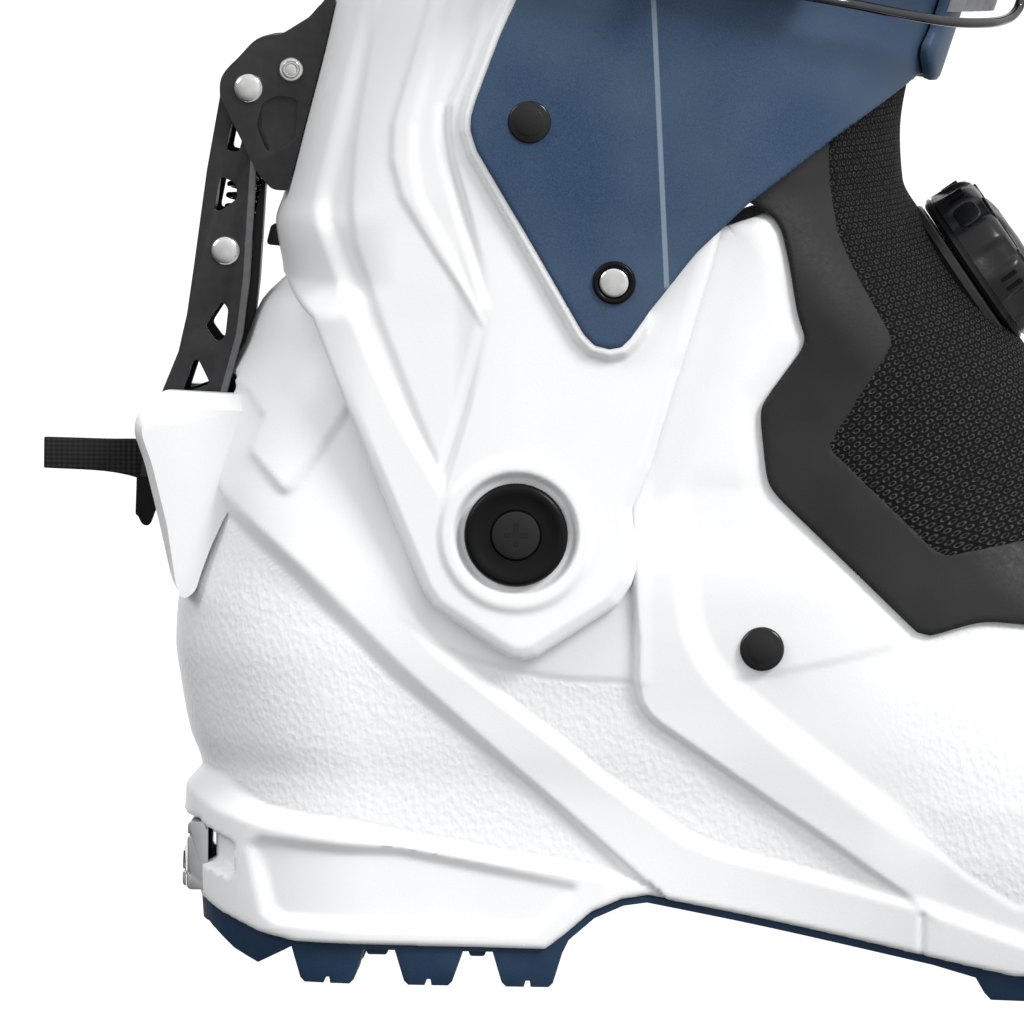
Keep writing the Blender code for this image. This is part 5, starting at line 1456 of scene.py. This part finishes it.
def buckle(body, wire, polished, dark):
    pad = rounded(((24.0, 4.42), (46, 4.6), (58, 6.2), (60, 7.4), (58, 8.0), (46, 6.2), (24.0, 6.05)), 0.8, 3)
    handle = buckle_slab("handle", pad, -11.6, 11.6, 0.5)
    window = [buckle_slab("window", ((28, 0), (28, 12), (42, 12), (42, 0)), low, low + 4.6)
              for low in (-8.9, 4.3)]
    for cutter in window:
        boolean(handle, cutter)
    neck = buckle_slab("neck", ((2.4, 3.7), (20, 4.3), (28, 4.5), (28, 5.95), (20, 5.8), (3.2, 5.0)),
                       -6.1, 6.1)
    joined(handle, neck)
    arms = rounded(((-3.2, -2.2), (14, -2.2), (20, 0), (24, 4.9), (3.4, 4.2), (-3.2, 2.4)), 1.4, 4)
    for low in (-6.2, 4.4):
        joined(handle, buckle_slab("arm", arms, low, low + 1.8))
    bevelled(handle, 0.3, 2)
    place_piece(handle, "buckle_handle", "buckle_lever", body, 30)
    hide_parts("buckle_lever")

    foot = rounded(((-4, -3.9), (30, -3.9), (30, -2.9), (4, -2.9), (2.6, 1.6), (0, 2.6), (-2.6, 1.6)), 0.8, 3)
    base = buckle_slab("base", foot, -4.0, 4.0)
    boolean(base, buckle_slab("fork", ((-10, -2.2), (12, -2.2), (12, 6), (-10, 6)), -1.6, 1.6))
    bevelled(base, 0.25, 2)
    place_piece(base, "buckle_foot", "cuff", dark, 30)
    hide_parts("buckle_base")
    pin = block("pin", [(1.5 * math.cos(a), 1.5 * math.sin(a)) for a in np.linspace(0, 2 * math.pi, 25)[:-1]],
                -6.9, 6.9, BUCKLE_HINGE, BACKWARD, OUTWARD, SHAFT, 0.3)
    place_piece(pin, "buckle_hinge_pin", "cuff", polished, 40)
    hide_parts("buckle_pin")

    start = buckle_point(BAIL_THROW, 0.4, 0)
    centre_line = (
        (start, 4.7), (start, 7.0), (buckle_point(BAIL_THROW - 1.0, 0.4, 0), 8.0),
        (buckle_point(0, 0.4, 0), 8.0), (Vector((86.6, -57.0, 210.3)), 8.0),
        (Vector((95.1, -49.0, 208.6)), 8.0), (Vector((106.1, -36.0, 206.7)), 8.0),
        (Vector((114.0, -22.0, 206.3)), 7.9), (Vector((118.1, -11.0, 206.6)), 7.4),
        (Vector((119.8, -5.5, 206.8)), 5.6), (Vector((120.2, -4.2, 207.1)), 2.8),
    )
    reach = [SHAFT * (half * (1.0 if i < 3 else 0.84)) for i, (_, half) in enumerate(centre_line)]
    low = [p - r for (p, _), r in zip(centre_line, reach)]
    high = [p + r for (p, _), r in zip(centre_line, reach)]
    bail = tube("bail", smooth_path(low + high[::-1], 6), 1.05, 16)
    place_piece(bail, "buckle_wire_bail", "wire_bail", wire, 60)
    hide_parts("wire_bail")


# ---------------------------------------------------------------- liner, strap and loop

def polar(radius, degrees):
    a = math.radians(degrees)
    return (PIVOT[0] + radius * math.cos(a), PIVOT[1] + radius * math.sin(a))


def quilt(x, y, z, edge):
    """Sewn channels round the shaft."""
    along = z - 0.25 * x
    around = np.arctan2(y, x - 35.0) * 44.0
    seams = np.minimum(np.abs(((along + 9.0) % 18.0) - 9.0), np.abs(((around + 14.0) % 28.0) - 14.0))
    return -1.3 * np.exp(-(seams / 1.3) ** 2) - 0.25 + round_edge(edge, 2.2)


def liner(cloth):
    inside = SPLIT_R + SPLIT_HALF
    under = [(200.0, 60.0), (200.0, 200.0), polar(125, 58), polar(125, 72), polar(101, 72),
             polar(101, 58), polar(88, 58), polar(88, 75)]
    under += [polar(inside, 75 + 101 * i / 11) for i in range(12)]
    under += [(-90.0, 99.0), (-90.0, 60.0)]

    def shaft_keep(x, y, z):
        rim = -from_line(x, z, ((-60.0, 300.0), (4.0, 299.0), (36.0, 288.0), (70.0, 274.0), (150.0, 266.0)))
        return np.minimum(rim, -in_area(x, z, under))

    points = surface(SHAFT_LINER_ROWS, spans((96.0, 3.0), (240.0, 1.5), 304.0), 0.0, (24, 40, 24))
    mesh, _ = skin(points, shaft_keep, quilt, 6.4)
    shaft = add_mesh("liner_shaft", mesh, "cuff", cloth)
    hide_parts("liner_cuff")

    outside = SPLIT_R - SPLIT_HALF
    over = [polar(130, 33)] + [polar(outside, 33 + 60 * i / 5) for i in range(6)]
    over += [polar(outside - 3.8, 95 + 80 * i / 7) for i in range(8)]
    over += [(-90.0, 101.0), (-90.0, 240.0), (230.0, 240.0), (230.0, 165.3)]

    def foot_keep(x, y, z):
        return -in_area(x, z, over)

    def soft(x, y, z, edge):
        return -0.25 + round_edge(edge, 2.0)

    points = surface(LOWER_ROWS, spans((BOARD_TOP + 0.4, 3.0), 172.0), -5.4, (20, 60, 22))
    mesh, _ = skin(points, foot_keep, soft, 4.0)
    foot = add_mesh("liner_foot", mesh, "lower", cloth)
    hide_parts("liner_lower")
    bed = closed_body("bed", surface(LOWER_ROWS, (BOARD_TOP + 0.4, 29.0, 31.5, 33.0), -9.8, (14, 40, 16)))
    place_piece(bed, "liner_footbed", "lower", cloth)


def power_strap(band):
    def lie(x):
        return 3.4 + 4.2 * ramp((x - 46.0) / 24.0)

    points = surface(CUFF_ROWS, 236.0 + np.linspace(0.0, 36.0, 19), 0.0, (16, 60, 26))
    normals = grid_normals(points)
    flat = points + normals * lie(points[:, :, 0])[:, :, None]
    flat[:, :, 2] += 14.0 * (1 - (flat[:, :, 0] + 10.0) / 130.0)
    levels, around = flat.shape[:2]
    out = flat + normals * 2.1
    edge_drop = np.minimum(np.arange(levels), np.arange(levels)[::-1])[:, None, None]
    out = out - normals * np.clip(1.0 - edge_drop, 0, 1)
    seam = np.isin(np.arange(levels), (2, levels - 3))
    out = out - normals * (0.35 * seam[:, None, None])
    index = np.arange(levels * around).reshape(levels, around)
    n = levels * around
    nxt = np.roll(index, -1, 1)
    faces = np.stack((index[:-1], nxt[:-1], nxt[1:], index[1:]), 2).reshape(-1, 4)
    inner = faces[:, ::-1] + n
    low = np.stack((nxt[0], index[0], index[0] + n, nxt[0] + n), 1)
    high = np.stack((index[-1], nxt[-1], nxt[-1] + n, index[-1] + n), 1)
    mesh = bpy.data.meshes.new("strap")
    mesh.from_pydata((np.vstack((out.reshape(-1, 3), flat.reshape(-1, 3))) * MM).tolist(), [],
                     np.vstack((faces, inner, low, high)).tolist())
    mesh.validate()
    smooth(mesh, 40)
    strap = add_mesh("top_power_strap", mesh, "cuff", band)
    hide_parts("power_strap")


def pull_loop(band):
    middle = smooth_path(((-5.5, 0, 286.0), (-3.6, 0, 299.0), (-1.2, 0, 304.6), (4.7, 0, 306.7),
                          (10.3, 0, 304.5),
                          (12.3, 0, 300.0), (10.2, 0, 290.0)), 5)
    outer, inner = [], []
    for a, b in zip(middle, middle[1:]):
        along = (b - a).normalized()
        side = Vector((along.z, 0, -along.x))
        outer.append((a.x - side.x * 1.0, a.z - side.z * 1.0))
        inner.append((a.x + side.x * 1.0, a.z + side.z * 1.0))
    loop = solid_prism("loop", outer + inner[::-1], -9, 9, 0.35)
    place_piece(loop, "liner_pull_loop", "cuff", band, 40)
    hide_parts("liner_loop")


# ---------------------------------------------------------------- the whole boot

make_camera()
make_studio()
WHITE = white_plastic()
BLUE = blue_wing()
NAVY = rubber()
FILM = film()
KNIT = knit()
BLACK = plain("black_plastic", (0.004, 0.004, 0.0045), 0.24, 0.36, Specular_IOR_Level=0.14)
GLOSS = plain("gloss_black", (0.005, 0.005, 0.0055), 0.12, 0.22, Specular_IOR_Level=0.4)
SATIN = plain("satin_black", (0.008, 0.008, 0.009), 0.22, 0.34, Specular_IOR_Level=0.35)
BOARD = plain("board_plastic", (0.08, 0.08, 0.085), 0.5, 0.7)
ANODISED = plain("anodised_grey", (0.04, 0.04, 0.042), 0.34, 0.46, scale=4.0, Metallic=0.5,
                 Specular_IOR_Level=0.3)
DARK = plain("anodised_black", (0.008, 0.008, 0.009), 0.32, 0.45, scale=4.0, Specular_IOR_Level=0.3)
EDGE = plain("bright_edge", (0.16, 0.16, 0.165), 0.3, 0.4, scale=4.0, Metallic=0.6)
STEEL = plain("steel", (0.78, 0.78, 0.77), 0.07, 0.14, bump=0.01, scale=3.0, Metallic=1.0)
CHROME = plain("chrome", (0.5, 0.51, 0.52), 0.05, 0.12, bump=0.01, scale=1.0, Metallic=1.0)
DARK_CHROME = plain("dark_chrome", (0.09, 0.09, 0.095), 0.08, 0.16, bump=0.01, scale=1.0, Metallic=1.0)
GREY = plain("grey_plastic", (0.3, 0.3, 0.31), 0.4, 0.5)
LINER = liner_fabric()
STRAP = webbing("strap_webbing", (0.03, 0.029, 0.031), 1.4, 0)
PULL = webbing("pull_webbing", (0.022, 0.021, 0.022), 1.15, 0)

lower_shell(WHITE)
cuff_shell(WHITE)
wings(BLUE)
front_flap(BLUE)
gaiter(FILM, KNIT)
walk_lever(ANODISED, EDGE, STEEL, DARK)
lever_spring(STEEL)
lever_bracket(ANODISED, STEEL, DARK)
pull_strap(PULL, BLACK)
lace_dial(SATIN, BLACK, ANODISED)
pivots(BLACK, GLOSS)
rivets(GLOSS, STEEL, BLACK)
heel_insert(CHROME)
outsole(NAVY)
buckle(ANODISED, DARK_CHROME, STEEL, DARK)
liner(LINER)
power_strap(STRAP)
pull_loop(STRAP)

for name, material in (("toe_tech_insert", STEEL), ("boot_board", BOARD),
                       ("lace_cable", STEEL), ("lock_plate", STEEL), ("pivot_tnut_lateral", STEEL),
                       ("pivot_tnut_medial", STEEL), ("pivot_bush_lateral", BLACK),
                       ("pivot_bush_medial", BLACK),
                       ("rack", GREY)):
    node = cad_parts[name]
    if node.data.materials:
        for index in range(len(node.data.materials)):
            node.data.materials[index] = material
    else:
        node.data.materials.append(material)
